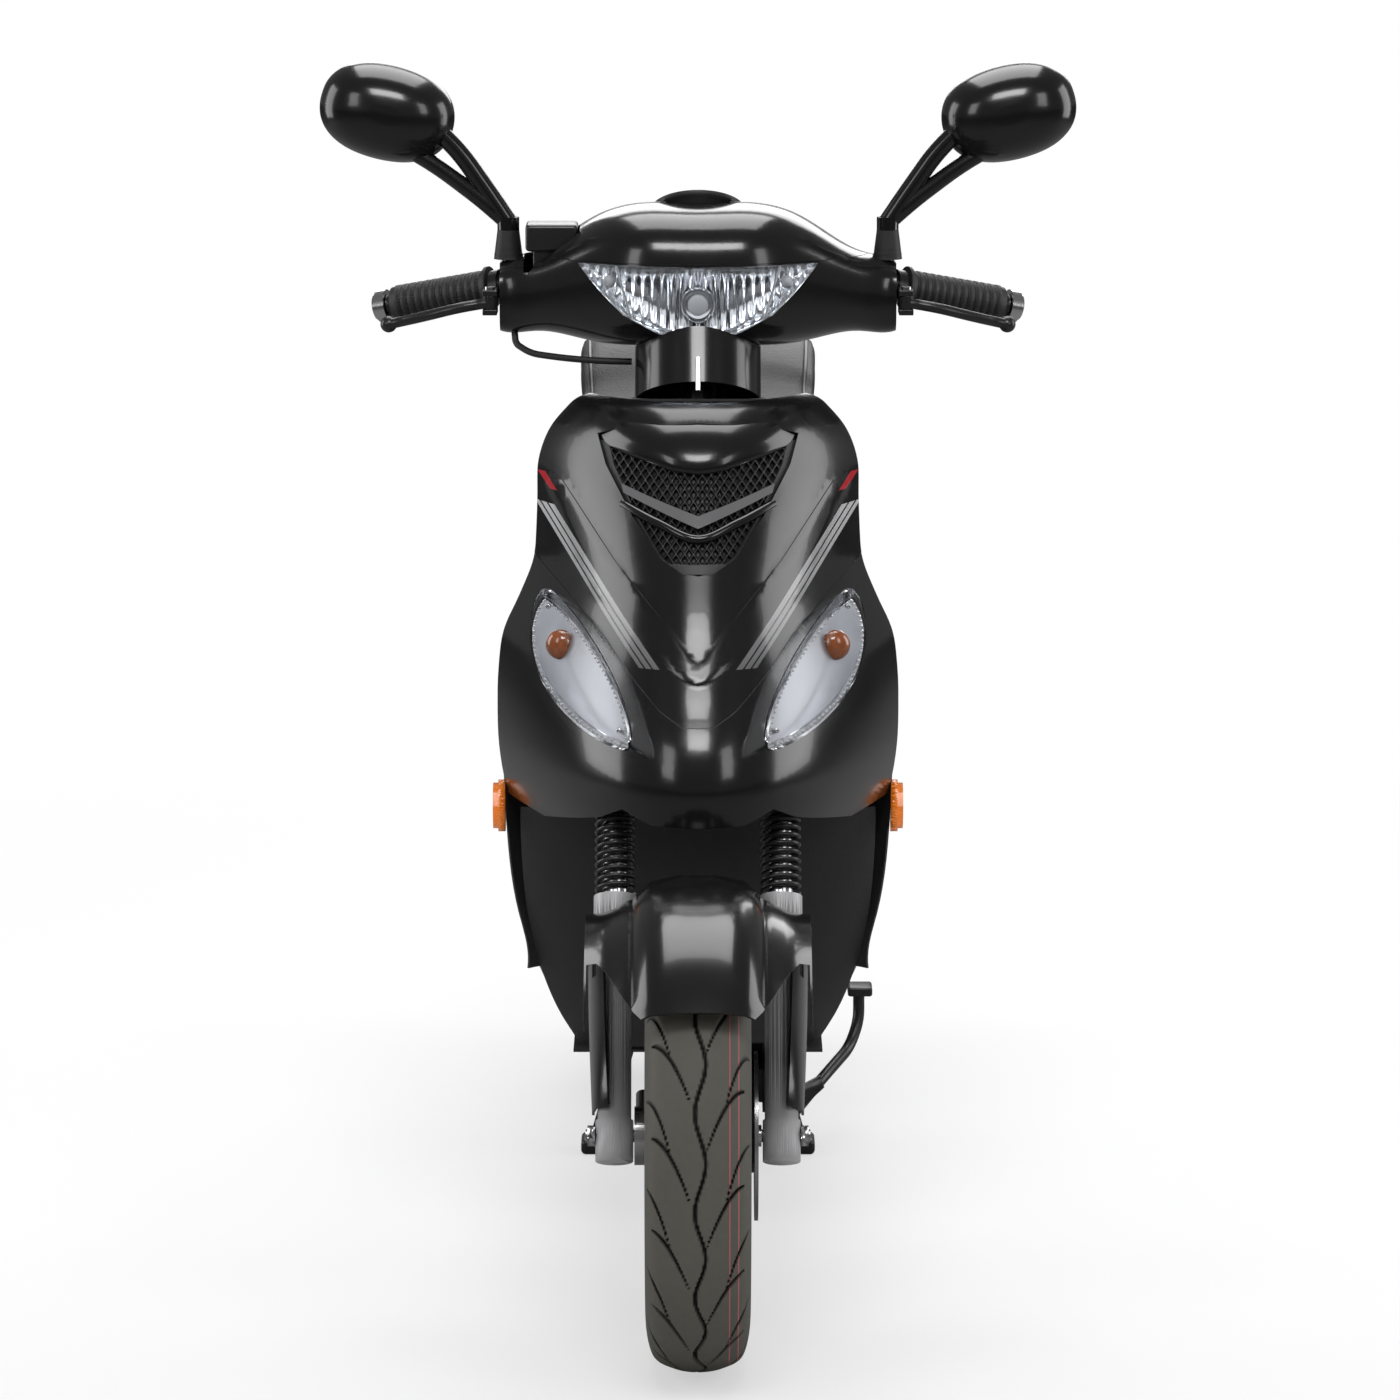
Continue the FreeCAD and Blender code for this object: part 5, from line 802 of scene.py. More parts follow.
def foremost(points: Array, cell: float = 0.004) -> Array:
    """The frontmost of the points in each small square of x and z."""
    keys = np.round(points[:, [0, 2]] / cell).astype(np.int64)
    order = np.lexsort((points[:, 1], keys[:, 1], keys[:, 0]))
    keys, points = keys[order], points[order]
    first = np.ones(len(keys), bool)
    first[1:] = np.any(keys[1:] != keys[:-1], axis=1)
    return points[first]


def front_of(points: Array, x: float, z: float, count: int) -> float:
    """Least y among the points that are nearest to x and z, as many as count."""
    near = np.argsort(np.hypot(points[:, 0] - x, points[:, 2] - z))[:count]
    return float(points[near, 1].min())


# ---- wheels ---------------------------------------------------------------------------------

Outline = Sequence[tuple[float, float]]


@dataclass
class Tyre:
    """Tyre with a wavy groove round its middle and curved grooves towards its shoulders."""

    name: str
    node: str
    body: str
    centre: Vector
    radius: float = 0.217
    half: float = 0.048
    bead: float = 0.1255
    bead_half: float = 0.0262
    tread: float = 0.034        # how far below the crown the tread ends
    blocks: int = 15            # long curved grooves round the tyre, on each side
    groove: float = 0.0042      # their depth
    waves: int = 15             # bends of the middle groove
    swing: float = 0.0048       # how far it bends to each side
    around: int = 1000          # steps round the tyre
    over: int = 95              # steps from bead to bead

    def section(self) -> tuple[Array, Array]:
        """Half section from bead to bead: x and r, by a smooth curve through the wall's main places."""
        side = self.radius - self.bead
        marks = [(self.bead_half, self.bead), (self.bead_half + 0.001, self.bead + 0.010),
                 (self.half * 0.93, self.bead + side * 0.34), (self.half, self.bead + side * 0.52),
                 (self.half * 0.85, self.bead + side * 0.84), (self.half * 0.45, self.radius - side * 0.036),
                 (0.0, self.radius)]
        marks += [(-x, r) for x, r in reversed(marks[:-1])]
        line = smooth_line(marks, 14)
        middle = (line[1:, 1] + line[:-1, 1]) / 2
        weight = np.where(middle > self.radius - self.tread, 5.0, 1.0)      # finer steps on the tread
        length = np.concatenate([[0], np.cumsum(np.linalg.norm(np.diff(line, axis=0), axis=1) * weight)])
        wanted = np.linspace(0, length[-1], self.over)
        return np.interp(wanted, length, line[:, 0]), np.interp(wanted, length, line[:, 1])

    def swoop(self, x: Array, turn: Array, shift: float, start: float, stop: float) -> Array:
        """Curved grooves that thin out towards both ends.

        Args:
            x: places across the tyre.
            turn: angles round it.
            shift: where the grooves start, as a share of their spacing.
            start: inner end, as a share of the half width.
            stop: outer end.

        Returns:
            One inside a groove, falling to nought at its edge.
        """
        reach = np.abs(x) / self.half
        along = np.clip((reach - start) / (stop - start), 0, 1)
        bend = 0.62 * (1 - along) ** 1.7
        half = 0.5 * (x > 0)
        phase = (turn * self.blocks / (2 * np.pi) + shift + half - bend) % 1.0
        width = 0.028 * np.sqrt(np.clip(4 * along * (1.02 - along), 0, 1)) + 1e-4
        far = np.minimum(phase, 1 - phase)
        return np.clip(1.6 - 1.2 * far / width, 0, 1) * (reach > start) * (reach < stop)

    def build(self) -> bpy.types.Object:
        """Makes the tyre.

        The radius is the section's, less the grooves' depth times a smooth step of each groove's distance.
        """
        x, r = self.section()
        turn = np.arange(self.around)[:, None] * 2 * np.pi / self.around
        x, r = x[None, :], r[None, :]
        wave = self.swing * np.sin(turn * self.waves) + 0.002
        middle = np.clip(2.2 - np.abs(x - wave) / 0.0008, 0, 1)
        slant = self.swoop(x, turn, 0.0, 0.16, 0.86)
        slant = np.maximum(slant, self.swoop(x, turn, 0.42, 0.50, 0.98))
        tread = np.clip((r - (self.radius - self.tread)) / 0.008, 0, 1)
        ring = 0.0006 * np.exp(-((r - (self.bead + 0.030)) / 0.0012) ** 2)
        depth = self.groove * np.maximum(middle, slant) * tread
        radius = r - depth + ring
        points = np.stack([x + 0 * turn, radius * np.cos(turn), radius * np.sin(turn)], -1)
        points = points + np.array(self.centre)
        faces = grid_faces(self.around, self.over, True, True)
        piece = new_piece(self.name, points, faces, Look.TYRE, self.body)
        # groove depth from nought to one; the rubber paints shade into the grooves by it
        sunk = piece.data.attributes.new("groove", "FLOAT", "POINT")
        sunk.data.foreach_set("value", (depth / self.groove).ravel())
        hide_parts(self.node)
        return piece


@dataclass
class Wheels:
    """Both wheels with their brakes."""

    sizes: tuple[Tyre, ...] = field(default_factory=lambda: (
        Tyre("front_tyre_tread", "front_tyre", "front_wheel", FRONT_AXLE),
        Tyre("rear_tyre_tread", "rear_tyre", "rear_wheel", REAR_AXLE)))

    def build(self) -> None:
        """Makes the tyres and dresses rims, disc and axle."""
        for tyre in self.sizes:
            tyre.build()
        for node in ("front_rim", "rear_rim"):
            Copy(node, split=True).place_each(node, lambda k: Look.PAINT if k == 0 else Look.STEEL)
        Copy("brake_disc").place("brake_disc_ground", Look.DISC)


# ---- fork -----------------------------------------------------------------------------------


@dataclass
class Fork:
    """Telescopic fork with its mudguard and caliper."""

    plain: tuple[tuple[str, Look], ...] = (
        ("fork_sliders", Look.FORK), ("fork_springs", Look.PAINT), ("front_axle", Look.STEEL),
        ("brake_caliper", Look.DARK_CAST))

    def build(self) -> None:
        """Dresses the fork's pieces."""
        for node, look in self.plain:
            Copy(node).place(node + "_shown", look)
        Copy("front_fender").place("front_fender_gloss", Look.GLOSS, bevel=ROUNDED)
        solids = Copy("steering_stem", split=True)

        def look_of(number: int) -> Look:
            """Steel for the slim upright tubes, paint for the rest."""
            wide, _, high = solids.extent(number)
            return Look.STEEL if wide < 0.03 and high > 0.1 else Look.PAINT

        solids.place_each("steering_stem", look_of)


# ---- headlight ------------------------------------------------------------------------------

H_BAR = 738.0               # handlebar above the front axle, mm
BAR_Y = 398.9               # and behind it


@dataclass
class Headlight:
    """Smile-shaped headlight: clear lens, fluted bowl, hooded bulb and two side lamps."""

    half: float = 0.1165        # half the window's width
    low: tuple[tuple[float, float], ...] = (
        (0, -39.8), (20, -38), (38, -33.8), (58, -24), (72, -14.5), (86, -1.5), (96, 9.5), (106, 21),
        (116.5, 34.3))
    top: float = 33.6           # the window's upper edge; both edges are in mm above the bar
    depth: float = 0.036        # of the bowl
    behind: float = 0.0045      # the bowl's rim behind the lens
    flute: float = 0.0090       # spacing of the flutes
    rise: float = 0.0010        # their height
    lamp_x: float = 0.084       # side lamps from the middle
    lamp_up: float = 16.0       # and above the bar, mm
    lamp_behind: float = 0.014  # their seat behind the lens
    rib_behind: float = 0.0095  # the dividing ribs behind the lens

    def edge(self, x: Array) -> Array:
        """Height of the window's lower edge at x."""
        places = np.array(self.low) * MM
        return np.interp(np.abs(x), places[:, 0], places[:, 1])

    def build(self) -> None:
        """Makes the lamp."""
        solids = Copy("headlight", split=True)
        lens = min(range(2), key=lambda k: solids.extent(k)[1])
        solids.place("headlight_lens", Look.LENS, lens)
        self.front = Sheet(foremost(solids.points(lens)), 6)
        self.bowl()
        self.bulb()
        for side, name in ((-1, "right"), (1, "left")):
            self.side_lamp(side, name)
            self.divider(side, name)

    @staticmethod
    def level(z: Array) -> Array:
        """Height in the frame of a height above the bar."""
        return z + at(0, 0, H_BAR).z

    @staticmethod
    def cup(name: str, profile: Outline, centre: Vector, corners: int, look: Look) -> None:
        """Turned piece that faces forwards, by its radii and depths in mm."""
        new_piece(name, *turned(np.array(profile) * MM, centre, FORWARD, corners), look, "steering")

    def bowl(self) -> None:
        """Bowl behind the lens: depth (1 - u^2)^.6 (4v(1-v))^.5, with upright flutes."""
        u, v = np.linspace(-1, 1, 221)[:, None], np.linspace(0, 1, 41)[None, :]
        x = u * self.half + 0 * v
        low = self.edge(x)
        z = self.level(low + (self.top * MM - low) * v)
        hollow = (1 - np.abs(u) ** 2.4).clip(0) ** 0.6 * (4 * v * (1 - v)).clip(0) ** 0.5
        flutes = self.rise * np.cos(2 * np.pi * x / self.flute) * np.minimum(hollow * 2, 1)
        y = self.front.depth(x, z) + self.behind + self.depth * hollow + flutes
        points = np.stack([x, y, z], -1)
        piece = new_piece("headlight_bowl", points, grid_faces(221, 41), Look.MIRROR, "steering")
        wall = piece.modifiers.new("wall", "SOLIDIFY")
        wall.thickness = 0.0015
        wall.offset = -1.0
        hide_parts("headlight")

    def bulb(self) -> None:
        """Hood over the bulb: a cup with a grey disc set into its front."""
        centre = at(0, BAR_Y - 52, H_BAR - 5)
        hood = [(0.0, 0.0), (15.5, 0), (16.2, 4), (16.2, 22), (15.2, 24), (13.6, 24), (12.6, 22.5),
                (10.4, 22.2), (0.0, 22.0)]
        self.cup("headlight_bulb_hood", hood, centre, 56, Look.MIRROR)
        disc = [(0.0, 22.2), (9.0, 22.2), (9.8, 23.2), (9.4, 25.6), (7.5, 26.4), (0.0, 26.8)]
        self.cup("headlight_bulb_disc", disc, centre, 48, Look.PALE)

    def side_lamp(self, side: int, name: str) -> None:
        """Small lamp in the corner of the bowl."""
        x, z = side * self.lamp_x, at(0, 0, H_BAR + self.lamp_up).z
        depth = float(self.front.depth(np.array([x]), np.array([z]))[0])
        centre = Vector((x, depth + self.lamp_behind, z))
        dome = [(0.0, 0.0), (6.2, 0), (6.2, 3), (5.4, 6.2), (3.4, 8.6), (1.2, 9.6), (0.0, 9.7)]
        self.cup(f"side_lamp_{name}", dome, centre, 32, Look.PALE)

    def divider(self, side: int, name: str) -> None:
        """Slanting rib that parts the side lamp from the bowl."""
        t = np.linspace(0, 1, 24)
        x = side * (0.0775 - 0.0145 * t)
        z = self.level(0.0318 - 0.050 * t)
        y = self.front.depth(x, z) + self.rib_behind
        path = np.stack([x, y, z], -1)
        profile = circle(0.0013, 10) * np.array([1.0, 3.4])
        across = np.tile([1.0, 0.0, 0.28 * side], (len(t), 1))
        new_piece(f"lamp_divider_{name}", *swept(path, profile, across), Look.PALE, "steering")


# ---- bar, covers, mirrors -------------------------------------------------------------------


@dataclass
class Screw:
    """Round-headed screw with a sunk centre, in mm."""

    radius: float = 2.6
    height: float = 1.7

    def mesh(self, place: Vector, axis: Vector) -> tuple[Array, Array]:
        """Turned head whose profile dips in the middle."""
        r, h = self.radius, self.height
        profile = [(0.0, -1.5), (r, -1.5), (r, h * 0.35), (r * 0.86, h * 0.8), (r * 0.6, h), (r * 0.46, h),
                   (r * 0.42, h * 0.25), (0.0, h * 0.25)]
        return turned(np.array(profile) * MM, place, axis, 20)


@dataclass
class Dial:
    """Speedometer face: ticks and a needle under a clear cover."""

    centre: Vector = field(default_factory=lambda: at(0, BAR_Y + 28, H_BAR + 58))
    axis: Vector = field(default_factory=lambda: Vector((0, 0.5, 0.866)).normalized())
    radius: float = 0.0355
    face: float = 0.0163        # the face above the dial's back
    ticks: int = 25
    sweep: float = 250.0        # degrees from the first mark to the last

    def flat(self, across: Array, along: Array, height: float) -> Array:
        """Places on the face from two sizes in its plane."""
        up = np.array(self.axis.cross(Vector((-1, 0, 0))))
        base = np.array(self.centre + self.axis * (self.face + height))
        return base + across[..., None] * np.array([-1.0, 0, 0]) + along[..., None] * up

    def bar(self, angle: float, inner: float, outer: float, width: float,
            height: float) -> tuple[Array, Array]:
        """Small raised bar on a ray of the dial."""
        direction = np.array([math.sin(angle), math.cos(angle)])
        normal = np.array([direction[1], -direction[0]])
        corners = np.array([direction * inner - normal * width, direction * outer - normal * width,
                            direction * outer + normal * width, direction * inner + normal * width])
        low = self.flat(corners[:, 0], corners[:, 1], height)
        high = self.flat(corners[:, 0], corners[:, 1], height + 0.0004)
        faces = np.array([(0, 1, 2, 3), (7, 6, 5, 4), (0, 4, 5, 1), (1, 5, 6, 2), (2, 6, 7, 3), (3, 7, 4, 0)])
        return np.concatenate([low, high]), faces

    def build(self) -> None:
        """Makes the face, marks, needle and cover."""
        start = self.centre + self.axis * self.face

        def layer(name: str, profile: Outline, corners: int, look: Look) -> None:
            """Turned piece on the dial's axis."""
            new_piece(name, *turned(np.array(profile), start, self.axis, corners), look, "steering")

        edge, thick = self.radius, 0.0002
        layer("dial_face_plate", [(0.0, 0.0), (edge, 0), (edge, thick), (0.0, thick)], 64, Look.FACE)
        half = math.radians(self.sweep / 2)
        angles = np.linspace(-half, half, self.ticks)
        long_tick, short_tick = (0.0255, 0.0325, 0.00055, 0.0003), (0.0285, 0.0325, 0.0003, 0.0003)
        ticks = [self.bar(angle, *(short_tick if k % 2 else long_tick)) for k, angle in enumerate(angles)]
        new_piece("dial_marks", *gathered(ticks), Look.MARK, "steering", smooth=False)
        needle = self.bar(-half, -0.006, 0.027, 0.0008, 0.0014)
        new_piece("dial_needle", *needle, Look.NEEDLE, "steering", smooth=False)
        layer("dial_boss", [(0.0, 0.0), (0.0042, 0), (0.0040, 0.0026), (0.0, 0.0030)], 28, Look.GRIP)
        cover = [(0.0, 0.0032), (0.030, 0.0030), (edge, 0.0026), (edge, 0.0031), (0.030, 0.0035),
                 (0.0, 0.0037)]
        layer("dial_cover", cover, 64, Look.GLASS)


@dataclass
class Cockpit:
    """Handlebar with its covers, controls, dial and mirrors."""

    plain: tuple[tuple[str, Look], ...] = (
        ("left_grip", Look.GRIP), ("throttle_grip", Look.GRIP), ("left_brake_lever", Look.PAINT),
        ("right_brake_lever", Look.PAINT), ("start_button", Look.SATIN), ("horn_button", Look.SATIN),
        ("turn_switch", Look.SATIN), ("beam_switch", Look.SATIN), ("throttle_cable", Look.GRIP),
        ("speedometer", Look.SATIN))

    def build(self) -> None:
        """Makes and dresses everything that turns with the bar."""
        for node, look in self.plain:
            Copy(node).place(node + "_shown", look)
        Copy("handlebar", split=True).place_each("handlebar", lambda k: Look.STEEL if k else Look.PAINT)
        parts = Copy("bar_controls", split=True)
        small = 0.032
        parts.place_each("bar_control", lambda k: Look.STEEL if parts.extent(k).max() < small else Look.PAINT)
        front = Copy("headset_front", split=True)
        front.place("headset_front_gloss", Look.GLOSS, 0, bevel=ROUNDED)
        for number in range(1, len(front.meshes)):
            front.place(f"neck_cover_{number}", Look.GLOSS, number)
        Copy("headset_rear").place("headset_rear_gloss", Look.GLOSS, bevel=ROUNDED)
        Dial().build()
        self.mirror("left")
        self.mirror("right")
        self.neck_trim()

    def mirror(self, side: str) -> None:
        """Mirror: gloss arm and head, silvered glass, rubber boot."""
        solids = Copy(f"{side}_mirror", split=True)
        flat = min(range(1, len(solids.meshes)), key=lambda k: solids.extent(k)[1])
        looks = {0: Look.GLOSS, flat: Look.SILVERED}
        solids.place_each(f"{side}_mirror", lambda k: looks.get(k, Look.GRIP))

    def neck_trim(self) -> None:
        """Bright upright on the neck."""
        t = np.linspace(0, 1, 14)
        z = 655 + 30 * t
        y = 38.94 + z * 0.4877 - 66.9
        path = np.stack([0 * t, FRONT_AXLE.y + y * MM, FRONT_AXLE.z + z * MM], -1)
        profile = circle(0.0026, 14) * np.array([1.0, 1.3])
        across = np.tile([1.0, 0, 0], (len(t), 1))
        new_piece("neck_bright_upright", *swept(path, profile, across), Look.CHROME, "steering")


# ---- front shield ---------------------------------------------------------------------------


@dataclass
class Shield:
    """Front cover with its grille, bright chevron, turn signals, reflectors and screws."""

    hole: tuple[tuple[float, float], ...] = ((0, 500), (15, 502), (36, 515), (62, 550), (87, 592), (95, 618))
    mesh_low: float = 0.501     # lower end of the mesh above the axle
    mesh_high: float = 0.612
    mesh_slope: float = 0.72
    dome_half: float = 0.0945
    dome_edge: tuple[tuple[float, float], ...] = ((0, 585), (25, 588), (45, 594), (68, 600), (89, 606))
    dome_top: float = 634.0
    mesh_pitch: float = 0.0082
    wire: float = 0.0011        # half width of a bar of the mesh
    bar_line: tuple[tuple[float, float], ...] = ((0, 531), (36, 544), (70, 558))
    signal_top: tuple[float, float] = (-146, 468)
    signal_tip: tuple[float, float] = (-64, 352)
    bulge: tuple[float, float] = (42.0, 21.5)
    sides: int = 58             # points on each long side of a lens
    bead_inset: float = 3.4     # the beads inside the lens's outline, mm
    bead_step: float = 0.0042   # their spacing
    bead_size: float = 0.0016   # their radius
    bulb_x: float = 0.129       # bulb covers from the middle
    bulb_z: float = 0.643       # and above the ground
    bulb_radius: float = 0.0145
    bulb_depth: float = 0.011
    screw_places: tuple[tuple[float, float], ...] = ((141, 460), (73, 364))     # beside each signal

    def build(self) -> None:
        """Makes the whole front."""
        Copy("front_cover").place("front_cover_striped", Look.STRIPED, bevel=ROUNDED)
        Copy("lower_bumper").place("lower_bumper_gloss", Look.GLOSS, bevel=ROUNDED)
        insert = Copy("grille_insert", split=True)
        self.inner = Sheet(foremost(insert.points(0)), 6)
        chevron = max(range(1, len(insert.meshes)), key=lambda k: insert.extent(k)[0])
        insert.place("bright_chevron", Look.CHROME, chevron)
        self.mesh()
        self.dome()
        self.bar()
        self.signals()
        Copy("side_reflectors").place("side_reflectors_shown", Look.REFLEX)
        self.screws()

    def side_of_hole(self, z: Array) -> Array:
        """Half width of the grille's window at a height, by its outline's points."""
        marks = np.array(self.hole) * MM
        level = marks[:, 1] + FRONT_AXLE.z
        return np.interp(z, level, marks[:, 0])

    def mesh(self) -> None:
        """Diamond mesh: bars along |x + s z| and |x - s z| lines stand proud of a sunken back."""
        u = np.linspace(-1, 1, 301)[:, None]
        z = np.linspace(self.mesh_low, self.mesh_high, 161)[None, :] + FRONT_AXLE.z
        x = u * (self.side_of_hole(z) + 0.003)
        lift = np.zeros_like(x)
        for way in (-1, 1):
            line = (x + way * self.mesh_slope * (z - FRONT_AXLE.z)) / self.mesh_pitch
            off = np.abs(line - np.round(line)) * self.mesh_pitch * math.cos(math.atan(self.mesh_slope))
            lift = np.maximum(lift, np.clip(1 - (off / self.wire) ** 4, 0, 1))
        inside = np.minimum(1 - np.abs(u), (z - FRONT_AXLE.z - 0.503) / 0.05)
        lift = np.maximum(lift, np.clip((0.15 - inside) / 0.03, 0, 1) * 1.15)
        y = self.inner.depth(x, z) + 0.0055 - 0.0062 * lift
        points = np.stack([x, y, z + 0 * x], -1)
        piece = new_piece("grille_diamond_mesh", points, grid_faces(301, 161), Look.SATIN, "chassis")
        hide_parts("grille_insert")

    def dome(self) -> None:
        """Crowned gloss panel over the grille: it stands out by 9.5 mm times (4v(1-v))^.55 (1-|u|^5)."""
        u, v = np.linspace(-1, 1, 97)[:, None], np.linspace(0, 1, 33)[None, :]
        marks = np.array(self.dome_edge) * MM
        x = u * self.dome_half + 0 * v
        low = np.interp(np.abs(x), marks[:, 0], marks[:, 1])
        z = low + (self.dome_top * MM - low) * v + FRONT_AXLE.z
        crown = (4 * v * (1 - v)).clip(0) ** 0.55 * (1 - np.abs(u) ** 5)
        lip = 0.004 * (1 - v) ** 6
        y = self.inner.depth(x, z) - 0.0005 - 0.0095 * crown + lip
        points = np.stack([x, y, z], -1)
        piece = new_piece("grille_dome", points, grid_faces(97, 33), Look.GLOSS, "chassis")
        wall = piece.modifiers.new("wall", "SOLIDIFY")
        wall.thickness, wall.offset = 0.003, -1.0

    def bar(self) -> None:
        """Gloss V bar below the chevron."""
        line = [(-x, 0, z) for x, z in reversed(self.bar_line[1:])] + [(x, 0, z) for x, z in self.bar_line]
        path = smooth_line(line, 10)
        x, z = path[:, 0] * MM, path[:, 2] * MM + FRONT_AXLE.z
        y = self.inner.depth(x, z) - 0.001
        profile = circle(1.0, 16) * np.array([0.0048, 0.0052])
        across = np.tile([0.0, 0.0, 1.0], (len(path), 1))
        new_piece("grille_v_bar", *swept(np.stack([x, y, z], -1), profile, across), Look.GLOSS, "chassis")

    def outline(self, gap: float, count: int) -> Array:
        """Almond outline of a signal's lens in x and z, in mm.

        The middle line runs from its top to its tip; the sides swell by sin(pi t^.8)^.7 and sin(pi t)^.5.
        """
        top, tip = np.array(self.signal_top), np.array(self.signal_tip)
        along = tip - top
        across = np.array([along[1], -along[0]]) / np.linalg.norm(along)
        sides = []
        for side, bulge in zip((1, -1), self.bulge):
            t = 0.5 - 0.5 * np.cos(np.pi * (np.arange(count) + 0.5) / count)
            t = t if side > 0 else 1 - t
            swell = np.sin(np.pi * t ** 0.8) ** 0.7 if side > 0 else np.sin(np.pi * t) ** 0.5
            inset = gap / np.linalg.norm(along)
            reach = np.maximum(bulge * swell - gap, 1.0)
            share = t * (1 - 2 * inset) + inset
            sides.append(top + along * share[:, None] + across * (side * reach)[:, None])
        return np.concatenate(sides)

    def signals(self) -> None:
        """Signals: trays, clear lenses, brown bulbs, and a border of beads on each lens."""
        solids = Copy("front_signals", split=True)
        fronts = []
        for side, way in (("left", 1), ("right", -1)):
            mine = [k for k in range(len(solids.meshes)) if solids.centre(k)[0] * way > 0]
            lens, tray = sorted(mine[:2], key=lambda k: solids.points(k)[:, 1].min())
            fronts.append(solids.points(lens))
            for number, look in ((lens, Look.FLUTED), (tray, Look.TRAY), (mine[2], Look.AMBER)):
                solids.place(f"{side}_signal_{look.value.name}", look, number)
            self.bulb(side, way, solids.points(tray))
        lens = Sheet(foremost(np.concatenate(fronts)), 5)
        edge = self.outline(self.bead_inset, self.sides) * MM
        loop = np.concatenate([edge, edge[:1]])
        length = np.concatenate([[0], np.cumsum(np.linalg.norm(np.diff(loop, axis=0), axis=1))])
        spots = np.arange(0, length[-1], self.bead_step)
        x, z = np.interp(spots, length, loop[:, 0]), np.interp(spots, length, loop[:, 1]) + FRONT_AXLE.z
        y = lens.depth(x, z) + 0.0004
        ball, faces = self.bead(self.bead_size)
        for name, way in (("right", 1), ("left", -1)):
            centres = np.stack([x * way, y, z], -1)
            parts = [(ball + centre, faces) for centre in centres]
            new_piece(f"{name}_signal_beads", *gathered(parts), Look.BEAD, "chassis")

    def bulb(self, side: str, way: int, tray: Array) -> None:
        """Domed bulb cover on the tray: its depth is 11 mm times the root of 1 - r^2."""
        x, z = way * self.bulb_x, self.bulb_z
        t = np.linspace(0, np.pi / 2, 14)
        profile = np.stack([self.bulb_radius * np.sin(t), self.bulb_depth * np.cos(t)], 1)[::-1]
        front = Vector((x, front_of(tray, x, z, 10) + 0.002, z))
        new_piece(f"{side}_signal_bulb_dome", *turned(profile, front, Vector((way * 0.35, -1, 0)), 40),
                  Look.AMBER, "chassis")

    @staticmethod
    def bead(radius: float) -> tuple[Array, Array]:
        """Small ball: circles of eight corners between two poles."""
        rise = np.array([-1, -0.6, 0.0, 0.6, 1])
        ring = np.array([0.0, 0.8, 1.0, 0.8, 0.0])
        profile = np.stack([ring, rise], 1) * radius
        return turned(profile, Vector((0, 0, 0)), FORWARD, 8)

    def screws(self) -> None:
        """Screws at the signals' ends."""
        lens = Copy("front_signals").points(0)
        heads = []
        for side in (-1, 1):
            for x, z in self.screw_places:
                x, z = side * x * MM, FRONT_AXLE.z + z * MM
                place = Vector((x, front_of(lens, x, z, 12), z))
                heads.append(Screw().mesh(place, Vector((side * 0.5, -1, -0.1))))
        new_piece("signal_lens_screws", *gathered(heads), Look.STEEL, "chassis")


# ---- floor and lower body -------------------------------------------------------------------


@dataclass
class Lower:
    """Inner leg shield, key, floor, skirts and frame."""

    plain: tuple[tuple[str, Look, float], ...] = (
        ("inner_leg_shield", Look.MATT, 0.0), ("ignition_key", Look.STEEL, 0.0), ("frame", Look.PAINT, 0.0),
        ("storage_bucket", Look.MATT, 0.0), ("rear_mudguard", Look.MATT, 0.0), ("rear_rack", Look.PAINT, 0.0),
        ("seat_base", Look.MATT, 0.0), ("crankshaft", Look.STEEL, 0.0), ("clutch", Look.STEEL, 0.0),
        ("shock_rod", Look.STEEL, 0.0), ("shock_spring", Look.PAINT, 0.0), ("shock_body", Look.CAST, 0.0),
        ("centre_stand", Look.PAINT, 0.0), ("frame_bolts", Look.STEEL, 0.0), ("electrics", Look.MATT, 0.0))

    def build(self) -> None:
        """Dresses the pieces."""
        for node, look, bevel in self.plain:
            Copy(node).place(node + "_shown", look, bevel=bevel)
        floor = Copy("floorboard", split=True)
        floor.place("floorboard_moulding", Look.MATT, 0)
        floor.place("floor_mat", Look.MAT, 1)
        panels = Copy("lower_panels", split=True)
        middle = 0.05
        panels.place_each("lower_panel",
                          lambda k: Look.GLOSS if abs(panels.centre(k)[0]) > middle else Look.MATT)


# ---- rear body ------------------------------------------------------------------------------


